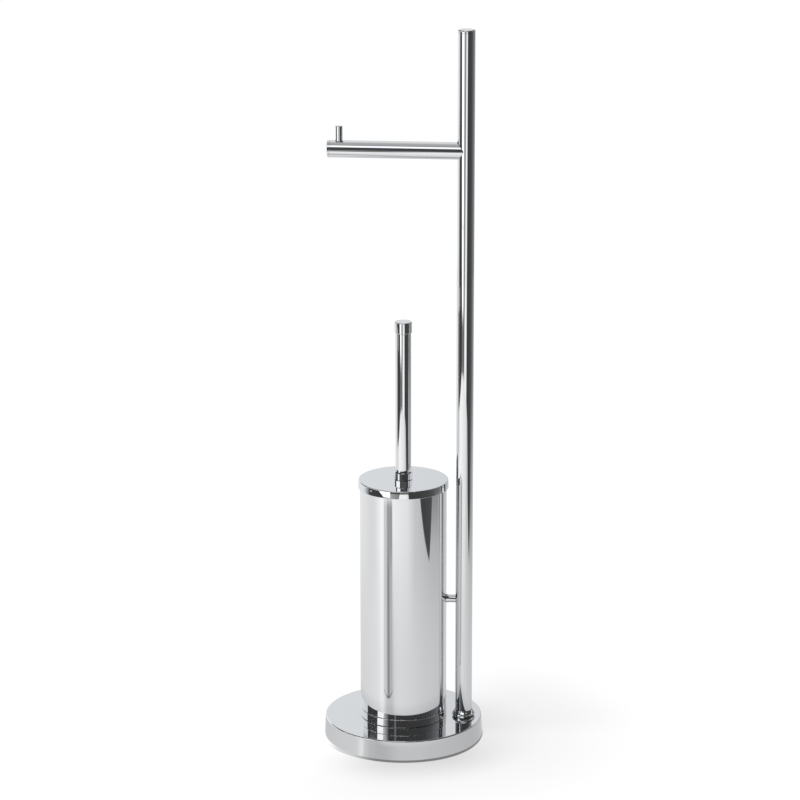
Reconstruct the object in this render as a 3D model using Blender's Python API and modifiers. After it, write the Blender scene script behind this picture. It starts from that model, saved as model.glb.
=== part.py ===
"""Toilet butler stand: a weighted round base, a brush canister with a lift-out cup, a lidded brush
and a tall pole whose arm holds a paper roll.

Metres, +Z up. The origin is on the floor under the canister's axis. The pole stands towards +X and
its arm points back over the canister, towards -X.
"""

import math

import bmesh
import bpy

# Clearances and cutting allowances
FIT_GAP = 0.0003
OVERRUN = 0.0020
MERGE_DISTANCE = 0.00001

# Round base: a pressed cover over a cast weight on a soft pad
BASE_MARGIN = 0.0210
BASE_TAPER = 0.0010
BASE_HEIGHT = 0.0230
COVER_WALL = 0.0015
COVER_EDGE = 0.0014
COVER_LIFT = 0.0008
PAD_THICKNESS = 0.0020
WEIGHT_EDGE = 0.0010

# Canister tube and the turned foot that it stands on
CANISTER_RADIUS = 0.04825
CANISTER_WALL = 0.0010
CANISTER_TOP = 0.2910
FOOT_HEIGHT = 0.0094
FOOT_PROUD = 0.0004
FOOT_EDGE = 0.0004
FOOT_FLOOR = 0.0040
FOOT_WALL = 0.0030
FOOT_SPIGOT = 0.0055

# Bolt that holds the canister's foot to the base
FOOT_BOLT_RADIUS = 0.0030
FOOT_BOLT_HEAD_RADIUS = 0.0052
FOOT_BOLT_HEAD_HEIGHT = 0.0040
FOOT_BOLT_TAIL = 0.0015
FOOT_WASHER_RADIUS = 0.0080
FOOT_WASHER_THICKNESS = 0.0015
FOOT_NUT_RADIUS = 0.0060
FOOT_NUT_HEIGHT = 0.0050

# Tube stock of the pole and of the arm
TUBE_RADIUS = 0.0095
TUBE_WALL = 0.0012

# Pole, its end cap and the rounded collar at its foot
POLE_GAP = 0.01025
POLE_ABOVE_ARM = 0.1311
POLE_CAP_THICKNESS = 0.0030
POLE_CAP_EDGE = 0.0013
POLE_CAP_SPIGOT = 0.0120
POLE_COLLAR_PROUD = 0.0037
POLE_COLLAR_HEIGHT = 0.0073
POLE_COLLAR_BELLY = 0.0014
POLE_COLLAR_TUCK = 0.0010
POLE_PLUG_LENGTH = 0.0250

# Bolt that holds the pole to the base
POLE_BOLT_RADIUS = 0.0040
POLE_BOLT_HEAD_RADIUS = 0.0068
POLE_BOLT_HEAD_HEIGHT = 0.0050
POLE_BOLT_GRIP = 0.0200
POLE_WASHER_RADIUS = 0.0095
POLE_WASHER_THICKNESS = 0.0020

# Arm for the paper roll
ARM_HEADROOM = 0.1808
ARM_REACH = 0.1500
ARM_CAP_THICKNESS = 0.0025
ARM_CAP_EDGE = 0.0006
ARM_CAP_SPIGOT = 0.0040
ARM_PLUG_END = 0.0280
ARM_STUD_RADIUS = 0.0030
ARM_STUD_INNER = 0.0020
ARM_STUD_OUTER = 0.0240
ARM_ANCHOR_LENGTH = 0.0200

# Pin that stops the roll from sliding off the arm
PIN_RADIUS = 0.0040
PIN_HEIGHT = 0.0157
PIN_INSET = 0.0125
PIN_EDGE = 0.0005
PIN_TAIL_RADIUS = 0.0025
PIN_TAIL_END = 0.0010
PIN_NUT_RADIUS = 0.0050
PIN_NUT_HEIGHT = 0.0040

# Spacer between the canister and the pole, with its long screw
STRUT_HEIGHT = 0.1616
STRUT_RADIUS = 0.0042
STRUT_FLARE = 0.0008
STRUT_SCREW_RADIUS = 0.0015
STRUT_SCREW_HEAD_RADIUS = 0.0030
STRUT_SCREW_HEAD_HEIGHT = 0.0013
STRUT_SCREW_INNER = 0.0020
STRUT_ANCHOR_LENGTH = 0.0140

# Lift-out cup inside the canister
CUP_PLAY = 0.00115
CUP_TAPER = 0.0015
CUP_WALL = 0.0018
CUP_FLOOR = 0.0020
CUP_LIFT = 0.0059
CUP_FLANGE_PROUD = 0.0003
CUP_FLANGE_HEIGHT = 0.0039

# Lid: a chromed cap over a moulded disc, clamped by a flanged neck that hides in the handle's collar
LID_WALL = 0.0012
LID_SKIRT_WALL = 0.0015
LID_SKIRT_TAPER = 0.0005
LID_EDGE = 0.0009
LID_DISC_THICKNESS = 0.0030
NECK_RADIUS = 0.0078
NECK_HEIGHT = 0.0020
NECK_TAIL_WALL = 0.0012
NECK_TAIL_LENGTH = 0.0120
LID_NUT_RADIUS = 0.0100
LID_NUT_HEIGHT = 0.0050

# Handle of the brush
COLLAR_PROUD = 0.0012
COLLAR_HEIGHT = 0.0084
COLLAR_EDGE = 0.0007
HANDLE_RADIUS = 0.00875
HANDLE_WALL = 0.0012
HANDLE_LENGTH = 0.1794
HANDLE_CAP_PROUD = 0.0009
HANDLE_CAP_HEIGHT = 0.0122
HANDLE_CAP_EDGE = 0.0009
HANDLE_CAP_SPIGOT = 0.0090
HANDLE_PLUG_LENGTH = 0.0200

# Steel stem of the brush and the stop that carries the lid with it
STEM_RADIUS = 0.0040
STEM_EDGE = 0.0006
STEM_IN_HANDLE = 0.0160
STEM_STOP_PROUD = 0.0030
STEM_STOP_HEIGHT = 0.0045

# Brush head: a moulded core and a sleeve of bristles
CORE_RADIUS = 0.0080
CORE_LENGTH = 0.0690
CORE_EDGE = 0.0025
CORE_SHOULDER_PROUD = 0.0015
CORE_SHOULDER_HEIGHT = 0.0060
CORE_SOCKET_FLOOR = 0.0100
HEAD_CLEARANCE = 0.0027
SLEEVE_SEAT = 0.0040
SLEEVE_WALL = 0.0022
BRUSH_PLAY = 0.0042
BRISTLE_LENGTH = 0.0270
BRISTLE_WIDTH = 0.0012
BRISTLE_ROWS = 15
BRISTLE_COLUMNS = 20
BRISTLE_LOW_ANGLE = -62.0
BRISTLE_HIGH_ANGLE = 24.0
BRISTLE_TIP_SHARE = 0.75

# Facets of the round pieces
WIDE_SIDES = 48
TUBE_SIDES = 32
SMALL_SIDES = 16
HEX_SIDES = 6
EDGE_STEPS = 2
COLLAR_STEPS = 4
SMOOTH_ANGLE = 35.0

# Places across the stand, from the canister's axis outwards
POLE_DISTANCE = CANISTER_RADIUS + POLE_GAP + TUBE_RADIUS
BASE_RADIUS = POLE_DISTANCE + BASE_MARGIN
BASE_TOP_RADIUS = BASE_RADIUS - BASE_TAPER
WEIGHT_RADIUS = BASE_TOP_RADIUS - COVER_WALL - FIT_GAP
FOOT_RADIUS = CANISTER_RADIUS + FOOT_PROUD
CANISTER_INNER_RADIUS = CANISTER_RADIUS - CANISTER_WALL
TUBE_INNER_RADIUS = TUBE_RADIUS - TUBE_WALL
PLUG_RADIUS = TUBE_INNER_RADIUS - FIT_GAP
POLE_COLLAR_RADIUS = TUBE_RADIUS + POLE_COLLAR_PROUD
PIN_X = POLE_DISTANCE - ARM_REACH + PIN_INSET
STRUT_SPAN = POLE_DISTANCE - CANISTER_RADIUS
CUP_TOP_RADIUS = CANISTER_INNER_RADIUS - FIT_GAP - STRUT_SCREW_HEAD_HEIGHT - CUP_PLAY
CUP_BOTTOM_RADIUS = CUP_TOP_RADIUS - CUP_TAPER
CUP_FLOOR_RADIUS = CUP_BOTTOM_RADIUS - CUP_WALL
CUP_FLANGE_RADIUS = CANISTER_RADIUS + CUP_FLANGE_PROUD
LID_RADIUS = CUP_FLANGE_RADIUS + FIT_GAP + LID_SKIRT_WALL
STEM_BORE_RADIUS = STEM_RADIUS + FIT_GAP
STEM_STOP_RADIUS = STEM_RADIUS + STEM_STOP_PROUD
NECK_TAIL_RADIUS = STEM_BORE_RADIUS + NECK_TAIL_WALL
COLLAR_RECESS_RADIUS = NECK_RADIUS + FIT_GAP
COLLAR_RADIUS = HANDLE_RADIUS + COLLAR_PROUD
HANDLE_CAP_RADIUS = HANDLE_RADIUS + HANDLE_CAP_PROUD
HANDLE_INNER_RADIUS = HANDLE_RADIUS - HANDLE_WALL
HANDLE_PLUG_RADIUS = HANDLE_INNER_RADIUS - FIT_GAP
CORE_SHOULDER_RADIUS = CORE_RADIUS + CORE_SHOULDER_PROUD
SLEEVE_INNER_RADIUS = CORE_RADIUS + FIT_GAP
SLEEVE_RADIUS = SLEEVE_INNER_RADIUS + SLEEVE_WALL
BRUSH_RADIUS = CUP_FLOOR_RADIUS - BRUSH_PLAY

# Heights above the floor, from the bottom up
WEIGHT_BOTTOM = PAD_THICKNESS + FIT_GAP
WEIGHT_TOP = BASE_HEIGHT - COVER_WALL - FIT_GAP
POLE_BOTTOM = BASE_HEIGHT + FIT_GAP
FOOT_BOTTOM = BASE_HEIGHT + FIT_GAP
FOOT_SHOULDER = BASE_HEIGHT + FOOT_HEIGHT
FOOT_FLOOR_TOP = FOOT_BOTTOM + FOOT_FLOOR
FOOT_BOLT_TOP = FOOT_FLOOR_TOP + FIT_GAP + FOOT_NUT_HEIGHT + FOOT_BOLT_TAIL
CUP_BOTTOM = FOOT_BOLT_TOP + CUP_LIFT
CUP_FLOOR_TOP = CUP_BOTTOM + CUP_FLOOR
SLEEVE_BOTTOM = CUP_FLOOR_TOP + HEAD_CLEARANCE + BRISTLE_LENGTH * math.sin(math.radians(-BRISTLE_LOW_ANGLE))
CORE_BOTTOM = SLEEVE_BOTTOM - SLEEVE_SEAT
CORE_TOP = CORE_BOTTOM + CORE_LENGTH
CORE_SHOULDER_BOTTOM = CORE_TOP - CORE_SHOULDER_HEIGHT
SLEEVE_TOP = CORE_SHOULDER_BOTTOM - FIT_GAP
STEM_BOTTOM = CORE_BOTTOM + CORE_SOCKET_FLOOR + FIT_GAP
FLANGE_BOTTOM = CANISTER_TOP + FIT_GAP
FLANGE_TOP = FLANGE_BOTTOM + CUP_FLANGE_HEIGHT
LID_DISC_BOTTOM = FLANGE_TOP + FIT_GAP
LID_DISC_TOP = LID_DISC_BOTTOM + LID_DISC_THICKNESS
LID_CEILING = LID_DISC_TOP + FIT_GAP
LID_TOP = LID_CEILING + LID_WALL
NECK_BOTTOM = LID_TOP + FIT_GAP
NECK_TOP = NECK_BOTTOM + NECK_HEIGHT
NECK_TAIL_BOTTOM = NECK_BOTTOM - NECK_TAIL_LENGTH
COLLAR_BOTTOM = LID_TOP + FIT_GAP
COLLAR_RECESS_TOP = NECK_TOP + FIT_GAP
COLLAR_TOP = COLLAR_BOTTOM + COLLAR_HEIGHT
HANDLE_BOTTOM = COLLAR_TOP + FIT_GAP
HANDLE_TOP = COLLAR_BOTTOM + HANDLE_LENGTH
HANDLE_CAP_BOTTOM = HANDLE_TOP - HANDLE_CAP_HEIGHT
STEM_TOP = HANDLE_BOTTOM + STEM_IN_HANDLE
ARM_HEIGHT = HANDLE_TOP + ARM_HEADROOM + TUBE_RADIUS
PIN_NUT_TOP = ARM_HEIGHT + math.sqrt(TUBE_INNER_RADIUS**2 - PIN_NUT_RADIUS**2) - FIT_GAP
POLE_TOP = ARM_HEIGHT + POLE_ABOVE_ARM

# Finishes: colour, metallic value and roughness
CHROME = ((0.75, 0.76, 0.77), 1.0, 0.04)
STEEL = ((0.60, 0.60, 0.60), 1.0, 0.30)
CAST_IRON = ((0.09, 0.09, 0.09), 0.6, 0.65)
SOFT_PAD = ((0.05, 0.05, 0.05), 0.0, 0.85)
WHITE_PLASTIC = ((0.86, 0.87, 0.88), 0.0, 0.35)
GREY_PLASTIC = ((0.45, 0.46, 0.47), 0.0, 0.45)
BRISTLE_WHITE = ((0.90, 0.91, 0.92), 0.0, 0.50)


def clear_scene():
    """Removes whatever the open scene holds."""
    for item in list(bpy.data.objects):
        bpy.data.objects.remove(item, do_unlink=True)


def new_collection(name):
    """Makes a collection in the scene."""
    collection = bpy.data.collections.new(name)
    bpy.context.scene.collection.children.link(collection)
    return collection


def make_material(name, finish):
    """Makes the Principled material of one piece from its colour, metallic value and roughness."""
    colour, metallic, roughness = finish
    material = bpy.data.materials.new(name)
    material.use_nodes = True
    shader = material.node_tree.nodes["Principled BSDF"]
    shader.inputs["Base Color"].default_value = (*colour, 1.0)
    shader.inputs["Metallic"].default_value = metallic
    shader.inputs["Roughness"].default_value = roughness
    return material


class Workshop:
    """Holds the two collections and turns outlines into pieces and cutters."""

    def __init__(self):
        self.parts = new_collection("toilet_butler_stand")
        self.cutters = new_collection("cutters")

    def link_part(self, piece, finish):
        """Puts a finished piece among the parts, with its own material and smooth round faces."""
        self.parts.objects.link(piece)
        piece.data.materials.clear()
        piece.data.materials.append(make_material(piece.name + "_finish", finish))
        piece.data.shade_smooth()
        piece.data.set_sharp_from_angle(angle=math.radians(SMOOTH_ANGLE))
        return piece

    def link_cutter(self, piece):
        """Puts a piece among the cutters, which are not part of the object."""
        self.cutters.objects.link(piece)
        piece.hide_render = True
        piece.display_type = "WIRE"
        return piece

    def turned(self, name, outline, finish, place=(0.0, 0.0, 0.0), turn=(0.0, 0.0, 0.0), sides=TUBE_SIDES):
        """Adds a piece turned from an outline."""
        return self.link_part(turn_outline(name, outline, place, turn, sides), finish)

    def cutter(self, name, outline, place=(0.0, 0.0, 0.0), turn=(0.0, 0.0, 0.0), sides=SMALL_SIDES):
        """Adds a cutter turned from an outline."""
        return self.link_cutter(turn_outline(name, outline, place, turn, sides))

    def group(self, name, place, pieces):
        """Hangs pieces on an empty that stands on the axis of their joint."""
        axis = bpy.data.objects.new(name, None)
        axis.location = place
        self.parts.objects.link(axis)
        for piece in pieces:
            piece.parent = axis
            piece.location = [at - origin for at, origin in zip(piece.location, place)]


def turn_outline(name, outline, place, turn, sides):
    """Turns an outline of (radius, height) points about its own Z axis.

    The points run down the outer side. An outline that starts and ends on the axis makes a solid, and
    any other is closed into a ring.
    """
    mesh = bpy.data.meshes.new(name)
    points = [(radius, 0.0, height) for radius, height in outline]
    edges = [(i, i + 1) for i in range(len(points) - 1)]
    if outline[0][0] > 0.0:
        edges.append((len(points) - 1, 0))
    mesh.from_pydata(points, edges, [])
    blank = bpy.data.objects.new(name + "_outline", mesh)
    bpy.context.scene.collection.objects.link(blank)
    screw = blank.modifiers.new("turn", "SCREW")
    screw.axis = "Z"
    screw.angle = 2.0 * math.pi
    screw.steps = sides
    screw.render_steps = sides
    screw.use_merge_vertices = True
    screw.merge_threshold = MERGE_DISTANCE
    depsgraph = bpy.context.evaluated_depsgraph_get()
    solid = bpy.data.meshes.new_from_object(blank.evaluated_get(depsgraph))
    solid.name = name
    bpy.data.objects.remove(blank, do_unlink=True)
    bpy.data.meshes.remove(mesh)
    piece = bpy.data.objects.new(name, solid)
    piece.location = place
    piece.rotation_euler = turn
    return piece


def cut(piece, cutter, operation="DIFFERENCE"):
    """Cuts a piece with another object, or joins the two."""
    modifier = piece.modifiers.new(cutter.name, "BOOLEAN")
    modifier.operation = operation
    modifier.solver = "EXACT"
    modifier.object = cutter


def arc(radius, height, size, start, end, steps=EDGE_STEPS):
    """Points of an arc of the given size about (radius, height), from one angle in degrees to another."""
    angles = [math.radians(start + (end - start) * i / steps) for i in range(steps + 1)]
    return [(radius + size * math.cos(angle), height + size * math.sin(angle)) for angle in angles]


def top_edge(radius, height, size, steps=EDGE_STEPS):
    """The rounded outer edge at the top of a turned piece."""
    return arc(radius - size, height - size, size, 90.0, 0.0, steps)


def bottom_edge(radius, height, size, steps=EDGE_STEPS):
    """The rounded outer edge at the bottom of a turned piece."""
    return arc(radius - size, height + size, size, 0.0, -90.0, steps)


def rod(radius, bottom, top):
    """Outline of a plain solid rod."""
    return [(0.0, top), (radius, top), (radius, bottom), (0.0, bottom)]


def ring(outer, inner, bottom, top):
    """Outline of a plain ring or tube."""
    return [(outer, top), (outer, bottom), (inner, bottom), (inner, top)]


def nut(shop, name, radius, height, bore, place):
    """A hexagonal nut with a round bore, standing on its place."""
    piece = shop.turned(name, rod(radius, 0.0, height), STEEL, place, sides=HEX_SIDES)
    bore_cutter = shop.cutter(name + "_bore", rod(bore, -OVERRUN, height + OVERRUN), place)
    cut(piece, bore_cutter)
    return piece


def bolt_from_below(shop, name, distance, shank, head, head_height, washer, washer_thickness, top):
    """A bolt and its washer in a counterbore of the weight. Returns cutters for hole and counterbore."""
    head_bottom = WEIGHT_BOTTOM + FIT_GAP
    head_top = head_bottom + head_height
    washer_bottom = head_top + FIT_GAP
    roof = washer_bottom + washer_thickness + FIT_GAP
    outline = [
        (0.0, top),
        (shank, top),
        (shank, head_top),
        (head, head_top),
        (head, head_bottom),
        (0.0, head_bottom),
    ]
    place = (distance, 0.0, 0.0)
    shop.turned(name + "_bolt", outline, STEEL, place, sides=SMALL_SIDES)
    washer_outline = ring(washer, shank + FIT_GAP, washer_bottom, washer_bottom + washer_thickness)
    shop.turned(name + "_washer", washer_outline, STEEL, place, sides=SMALL_SIDES)
    hole = shop.cutter(name + "_bolt_hole", rod(shank + FIT_GAP, -OVERRUN, BASE_HEIGHT + OVERRUN), place)
    counterbore = shop.cutter(name + "_counterbore", rod(washer + FIT_GAP, -OVERRUN, roof), place)
    return hole, counterbore


def build_base(shop):
    """The pad, the weight, the cover and the bolts that come up through them."""
    foot_cutters = bolt_from_below(
        shop, "canister", 0.0, FOOT_BOLT_RADIUS, FOOT_BOLT_HEAD_RADIUS, FOOT_BOLT_HEAD_HEIGHT,
        FOOT_WASHER_RADIUS, FOOT_WASHER_THICKNESS, FOOT_BOLT_TOP,
    )
    pole_cutters = bolt_from_below(
        shop, "pole", POLE_DISTANCE, POLE_BOLT_RADIUS, POLE_BOLT_HEAD_RADIUS, POLE_BOLT_HEAD_HEIGHT,
        POLE_WASHER_RADIUS, POLE_WASHER_THICKNESS, POLE_BOTTOM + POLE_BOLT_GRIP,
    )
    shop.turned("base_pad", rod(WEIGHT_RADIUS, 0.0, PAD_THICKNESS), SOFT_PAD, sides=WIDE_SIDES)
    weight_outline = [
        (0.0, WEIGHT_TOP),
        (WEIGHT_RADIUS - WEIGHT_EDGE, WEIGHT_TOP),
        (WEIGHT_RADIUS, WEIGHT_TOP - WEIGHT_EDGE),
        (WEIGHT_RADIUS, WEIGHT_BOTTOM),
        (0.0, WEIGHT_BOTTOM),
    ]
    weight = shop.turned("base_weight", weight_outline, CAST_IRON, sides=WIDE_SIDES)
    cover_ceiling = BASE_HEIGHT - COVER_WALL
    cover_outline = [
        (0.0, BASE_HEIGHT),
        *top_edge(BASE_TOP_RADIUS, BASE_HEIGHT, COVER_EDGE),
        (BASE_RADIUS, COVER_LIFT),
        (BASE_RADIUS - COVER_WALL, COVER_LIFT),
        (BASE_TOP_RADIUS - COVER_WALL, cover_ceiling),
        (0.0, cover_ceiling),
    ]
    cover = shop.turned("base_cover", cover_outline, CHROME, sides=WIDE_SIDES)
    for hole, counterbore in (foot_cutters, pole_cutters):
        cut(cover, hole)
        cut(weight, hole)
        cut(weight, counterbore)


def build_canister(shop):
    """The canister's foot, its nut and its tube."""
    spigot_radius = CANISTER_INNER_RADIUS - FIT_GAP
    spigot_top = FOOT_SHOULDER + FOOT_SPIGOT
    hole_radius = FOOT_BOLT_RADIUS + FIT_GAP
    foot_outline = [
        (spigot_radius, spigot_top),
        (spigot_radius, FOOT_SHOULDER),
        *top_edge(FOOT_RADIUS, FOOT_SHOULDER, FOOT_EDGE, steps=1),
        *bottom_edge(FOOT_RADIUS, FOOT_BOTTOM, FOOT_EDGE, steps=1),
        (hole_radius, FOOT_BOTTOM),
        (hole_radius, FOOT_FLOOR_TOP),
        (spigot_radius - FOOT_WALL, FOOT_FLOOR_TOP),
        (spigot_radius - FOOT_WALL, spigot_top),
    ]
    shop.turned("canister_foot", foot_outline, CHROME, sides=WIDE_SIDES)
    nut_place = (0.0, 0.0, FOOT_FLOOR_TOP + FIT_GAP)
    nut(shop, "canister_nut", FOOT_NUT_RADIUS, FOOT_NUT_HEIGHT, hole_radius, nut_place)
    tube_outline = ring(CANISTER_RADIUS, CANISTER_INNER_RADIUS, FOOT_SHOULDER + FIT_GAP, CANISTER_TOP)
    return shop.turned("canister_tube", tube_outline, CHROME, sides=WIDE_SIDES)


def build_pole(shop):
    """The pole with its cap, its plug for the bolt and the collar round its foot."""
    place = (POLE_DISTANCE, 0.0, 0.0)
    cap_bottom = POLE_TOP - POLE_CAP_THICKNESS
    tube_outline = ring(TUBE_RADIUS, TUBE_INNER_RADIUS, POLE_BOTTOM, cap_bottom - FIT_GAP)
    pole = shop.turned("pole_tube", tube_outline, CHROME, place)
    cap_outline = [
        (0.0, POLE_TOP),
        *top_edge(TUBE_RADIUS, POLE_TOP, POLE_CAP_EDGE),
        (TUBE_RADIUS, cap_bottom),
        (PLUG_RADIUS, cap_bottom),
        (PLUG_RADIUS, cap_bottom - POLE_CAP_SPIGOT),
        (0.0, cap_bottom - POLE_CAP_SPIGOT),
    ]
    shop.turned("pole_cap", cap_outline, CHROME, place)
    plug_outline = ring(PLUG_RADIUS, POLE_BOLT_RADIUS + FIT_GAP, POLE_BOTTOM, POLE_BOTTOM + POLE_PLUG_LENGTH)
    shop.turned("pole_plug", plug_outline, STEEL, place, sides=SMALL_SIDES)
    collar_bore = TUBE_RADIUS + FIT_GAP
    collar_reach = POLE_COLLAR_RADIUS - collar_bore
    belly_height = POLE_BOTTOM + POLE_COLLAR_BELLY
    dome_height = POLE_COLLAR_HEIGHT - POLE_COLLAR_BELLY
    tuck_centre = POLE_COLLAR_RADIUS - POLE_COLLAR_TUCK
    dome = arc(0.0, 0.0, 1.0, 90.0, 0.0, COLLAR_STEPS)
    tuck = arc(0.0, 0.0, 1.0, -45.0, -90.0, steps=1)
    collar_outline = [
        *[(collar_bore + collar_reach * x, belly_height + dome_height * z) for x, z in dome],
        *[(tuck_centre + POLE_COLLAR_TUCK * x, belly_height + POLE_COLLAR_BELLY * z) for x, z in tuck],
        (collar_bore, POLE_BOTTOM),
    ]
    shop.turned("pole_foot_collar", collar_outline, CHROME, place)
    return pole


def build_arm(shop, pole):
    """The arm, what joins it to the pole, its end cap and its pin. Local Z runs out along the arm."""
    place = (POLE_DISTANCE, 0.0, ARM_HEIGHT)
    outwards = (0.0, math.radians(-90.0), 0.0)
    cap_inner = ARM_REACH - ARM_CAP_THICKNESS
    envelope_top = POLE_TOP + OVERRUN
    pole_envelope = shop.cutter(
        "pole_envelope", rod(TUBE_RADIUS + FIT_GAP, 0.0, envelope_top), (POLE_DISTANCE, 0.0, 0.0),
        sides=TUBE_SIDES,
    )
    arm_outline = ring(TUBE_RADIUS, TUBE_INNER_RADIUS, 0.0, cap_inner - FIT_GAP)
    arm = shop.turned("arm_tube", arm_outline, CHROME, place, outwards)
    cut(arm, pole_envelope)
    cap_outline = [
        (0.0, ARM_REACH),
        *top_edge(TUBE_RADIUS, ARM_REACH, ARM_CAP_EDGE),
        (TUBE_RADIUS, cap_inner),
        (PLUG_RADIUS, cap_inner),
        (PLUG_RADIUS, cap_inner - ARM_CAP_SPIGOT),
        (0.0, cap_inner - ARM_CAP_SPIGOT),
    ]
    shop.turned("arm_end_cap", cap_outline, CHROME, place, outwards)

    plug = shop.turned("arm_plug", rod(PLUG_RADIUS, 0.0, ARM_PLUG_END), STEEL, place, outwards, SMALL_SIDES)
    cut(plug, pole_envelope)
    half_anchor = ARM_ANCHOR_LENGTH / 2.0
    anchor = shop.turned(
        "arm_anchor", rod(PLUG_RADIUS, -half_anchor, half_anchor), STEEL, place, sides=SMALL_SIDES
    )
    stud_outline = rod(ARM_STUD_RADIUS, -ARM_STUD_INNER, ARM_STUD_OUTER)
    shop.turned("arm_stud", stud_outline, STEEL, place, outwards, SMALL_SIDES)
    hole_outline = rod(ARM_STUD_RADIUS + FIT_GAP, -ARM_STUD_INNER - FIT_GAP, ARM_STUD_OUTER + FIT_GAP)
    stud_hole = shop.cutter("arm_stud_hole", hole_outline, place, outwards)
    for piece in (pole, plug, anchor):
        cut(piece, stud_hole)

    pin_place = (PIN_X, 0.0, ARM_HEIGHT)
    pin_top = TUBE_RADIUS + PIN_HEIGHT
    pin_outline = [
        (0.0, pin_top),
        *top_edge(PIN_RADIUS, pin_top, PIN_EDGE, steps=1),
        (PIN_RADIUS, 0.0),
        (0.0, 0.0),
    ]
    pin = shop.turned("arm_pin", pin_outline, CHROME, pin_place, sides=SMALL_SIDES)
    arm_envelope = shop.cutter(
        "arm_envelope", rod(TUBE_RADIUS + FIT_GAP, 0.0, ARM_REACH + OVERRUN), place, outwards,
        sides=TUBE_SIDES,
    )
    cut(pin, arm_envelope)
    tail_top = TUBE_RADIUS + OVERRUN
    tail = shop.cutter("arm_pin_tail", rod(PIN_TAIL_RADIUS, PIN_TAIL_END, tail_top), pin_place)
    cut(pin, tail, "UNION")
    tail_hole = shop.cutter("arm_pin_hole", rod(PIN_TAIL_RADIUS + FIT_GAP, 0.0, tail_top), pin_place)
    cut(arm, tail_hole)
    nut_place = (PIN_X, 0.0, PIN_NUT_TOP - PIN_NUT_HEIGHT)
    nut(shop, "arm_pin_nut", PIN_NUT_RADIUS, PIN_NUT_HEIGHT, PIN_TAIL_RADIUS + FIT_GAP, nut_place)


def build_strut(shop, pole, canister):
    """The spacer between canister and pole. Local Z runs from the pole's axis towards the canister."""
    place = (POLE_DISTANCE, 0.0, STRUT_HEIGHT)
    inwards = (0.0, math.radians(-90.0), 0.0)
    flare_radius = STRUT_RADIUS + STRUT_FLARE
    clear_span = STRUT_SPAN - TUBE_RADIUS
    strut_outline = [
        (0.0, STRUT_SPAN + OVERRUN),
        (flare_radius, STRUT_SPAN + OVERRUN),
        (flare_radius, STRUT_SPAN),
        (STRUT_RADIUS, STRUT_SPAN - clear_span / 2.0),
        (STRUT_RADIUS, 0.0),
        (0.0, 0.0),
    ]
    strut = shop.turned("strut", strut_outline, CHROME, place, inwards, SMALL_SIDES)
    pole_face = shop.cutter(
        "strut_pole_face", rod(TUBE_RADIUS + FIT_GAP, 0.0, STRUT_HEIGHT * 2.0), (POLE_DISTANCE, 0.0, 0.0),
        sides=TUBE_SIDES,
    )
    canister_face = shop.cutter(
        "strut_canister_face", rod(CANISTER_RADIUS + FIT_GAP, 0.0, STRUT_HEIGHT * 2.0), sides=WIDE_SIDES
    )
    cut(strut, pole_face)
    cut(strut, canister_face)

    wall_inside = POLE_DISTANCE - CANISTER_INNER_RADIUS
    head_start = wall_inside + FIT_GAP
    head_end = head_start + STRUT_SCREW_HEAD_HEIGHT
    screw_outline = [
        (0.0, head_end),
        (STRUT_SCREW_HEAD_RADIUS, head_end),
        (STRUT_SCREW_HEAD_RADIUS, head_start),
        (STRUT_SCREW_RADIUS, head_start),
        (STRUT_SCREW_RADIUS, -STRUT_SCREW_INNER),
        (0.0, -STRUT_SCREW_INNER),
    ]
    shop.turned("strut_screw", screw_outline, STEEL, place, inwards, SMALL_SIDES)
    half_anchor = STRUT_ANCHOR_LENGTH / 2.0
    anchor = shop.turned(
        "strut_anchor", rod(PLUG_RADIUS, -half_anchor, half_anchor), STEEL, place, sides=SMALL_SIDES
    )
    hole_outline = rod(STRUT_SCREW_RADIUS + FIT_GAP, -STRUT_SCREW_INNER - FIT_GAP, wall_inside + OVERRUN)
    screw_hole = shop.cutter("strut_screw_hole", hole_outline, place, inwards)
    for piece in (strut, pole, canister, anchor):
        cut(piece, screw_hole)


def build_cup(shop):
    """The cup that hangs by its flange in the canister."""
    outline = [
        (0.0, CUP_FLOOR_TOP),
        (CUP_FLOOR_RADIUS, CUP_FLOOR_TOP),
        (CUP_TOP_RADIUS - CUP_WALL, FLANGE_TOP),
        (CUP_FLANGE_RADIUS, FLANGE_TOP),
        (CUP_FLANGE_RADIUS, FLANGE_BOTTOM),
        (CUP_TOP_RADIUS, FLANGE_BOTTOM),
        *bottom_edge(CUP_BOTTOM_RADIUS, CUP_BOTTOM, CUP_WALL, steps=1),
        (0.0, CUP_BOTTOM),
    ]
    return shop.turned("liner_cup", outline, WHITE_PLASTIC, sides=WIDE_SIDES)


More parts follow.
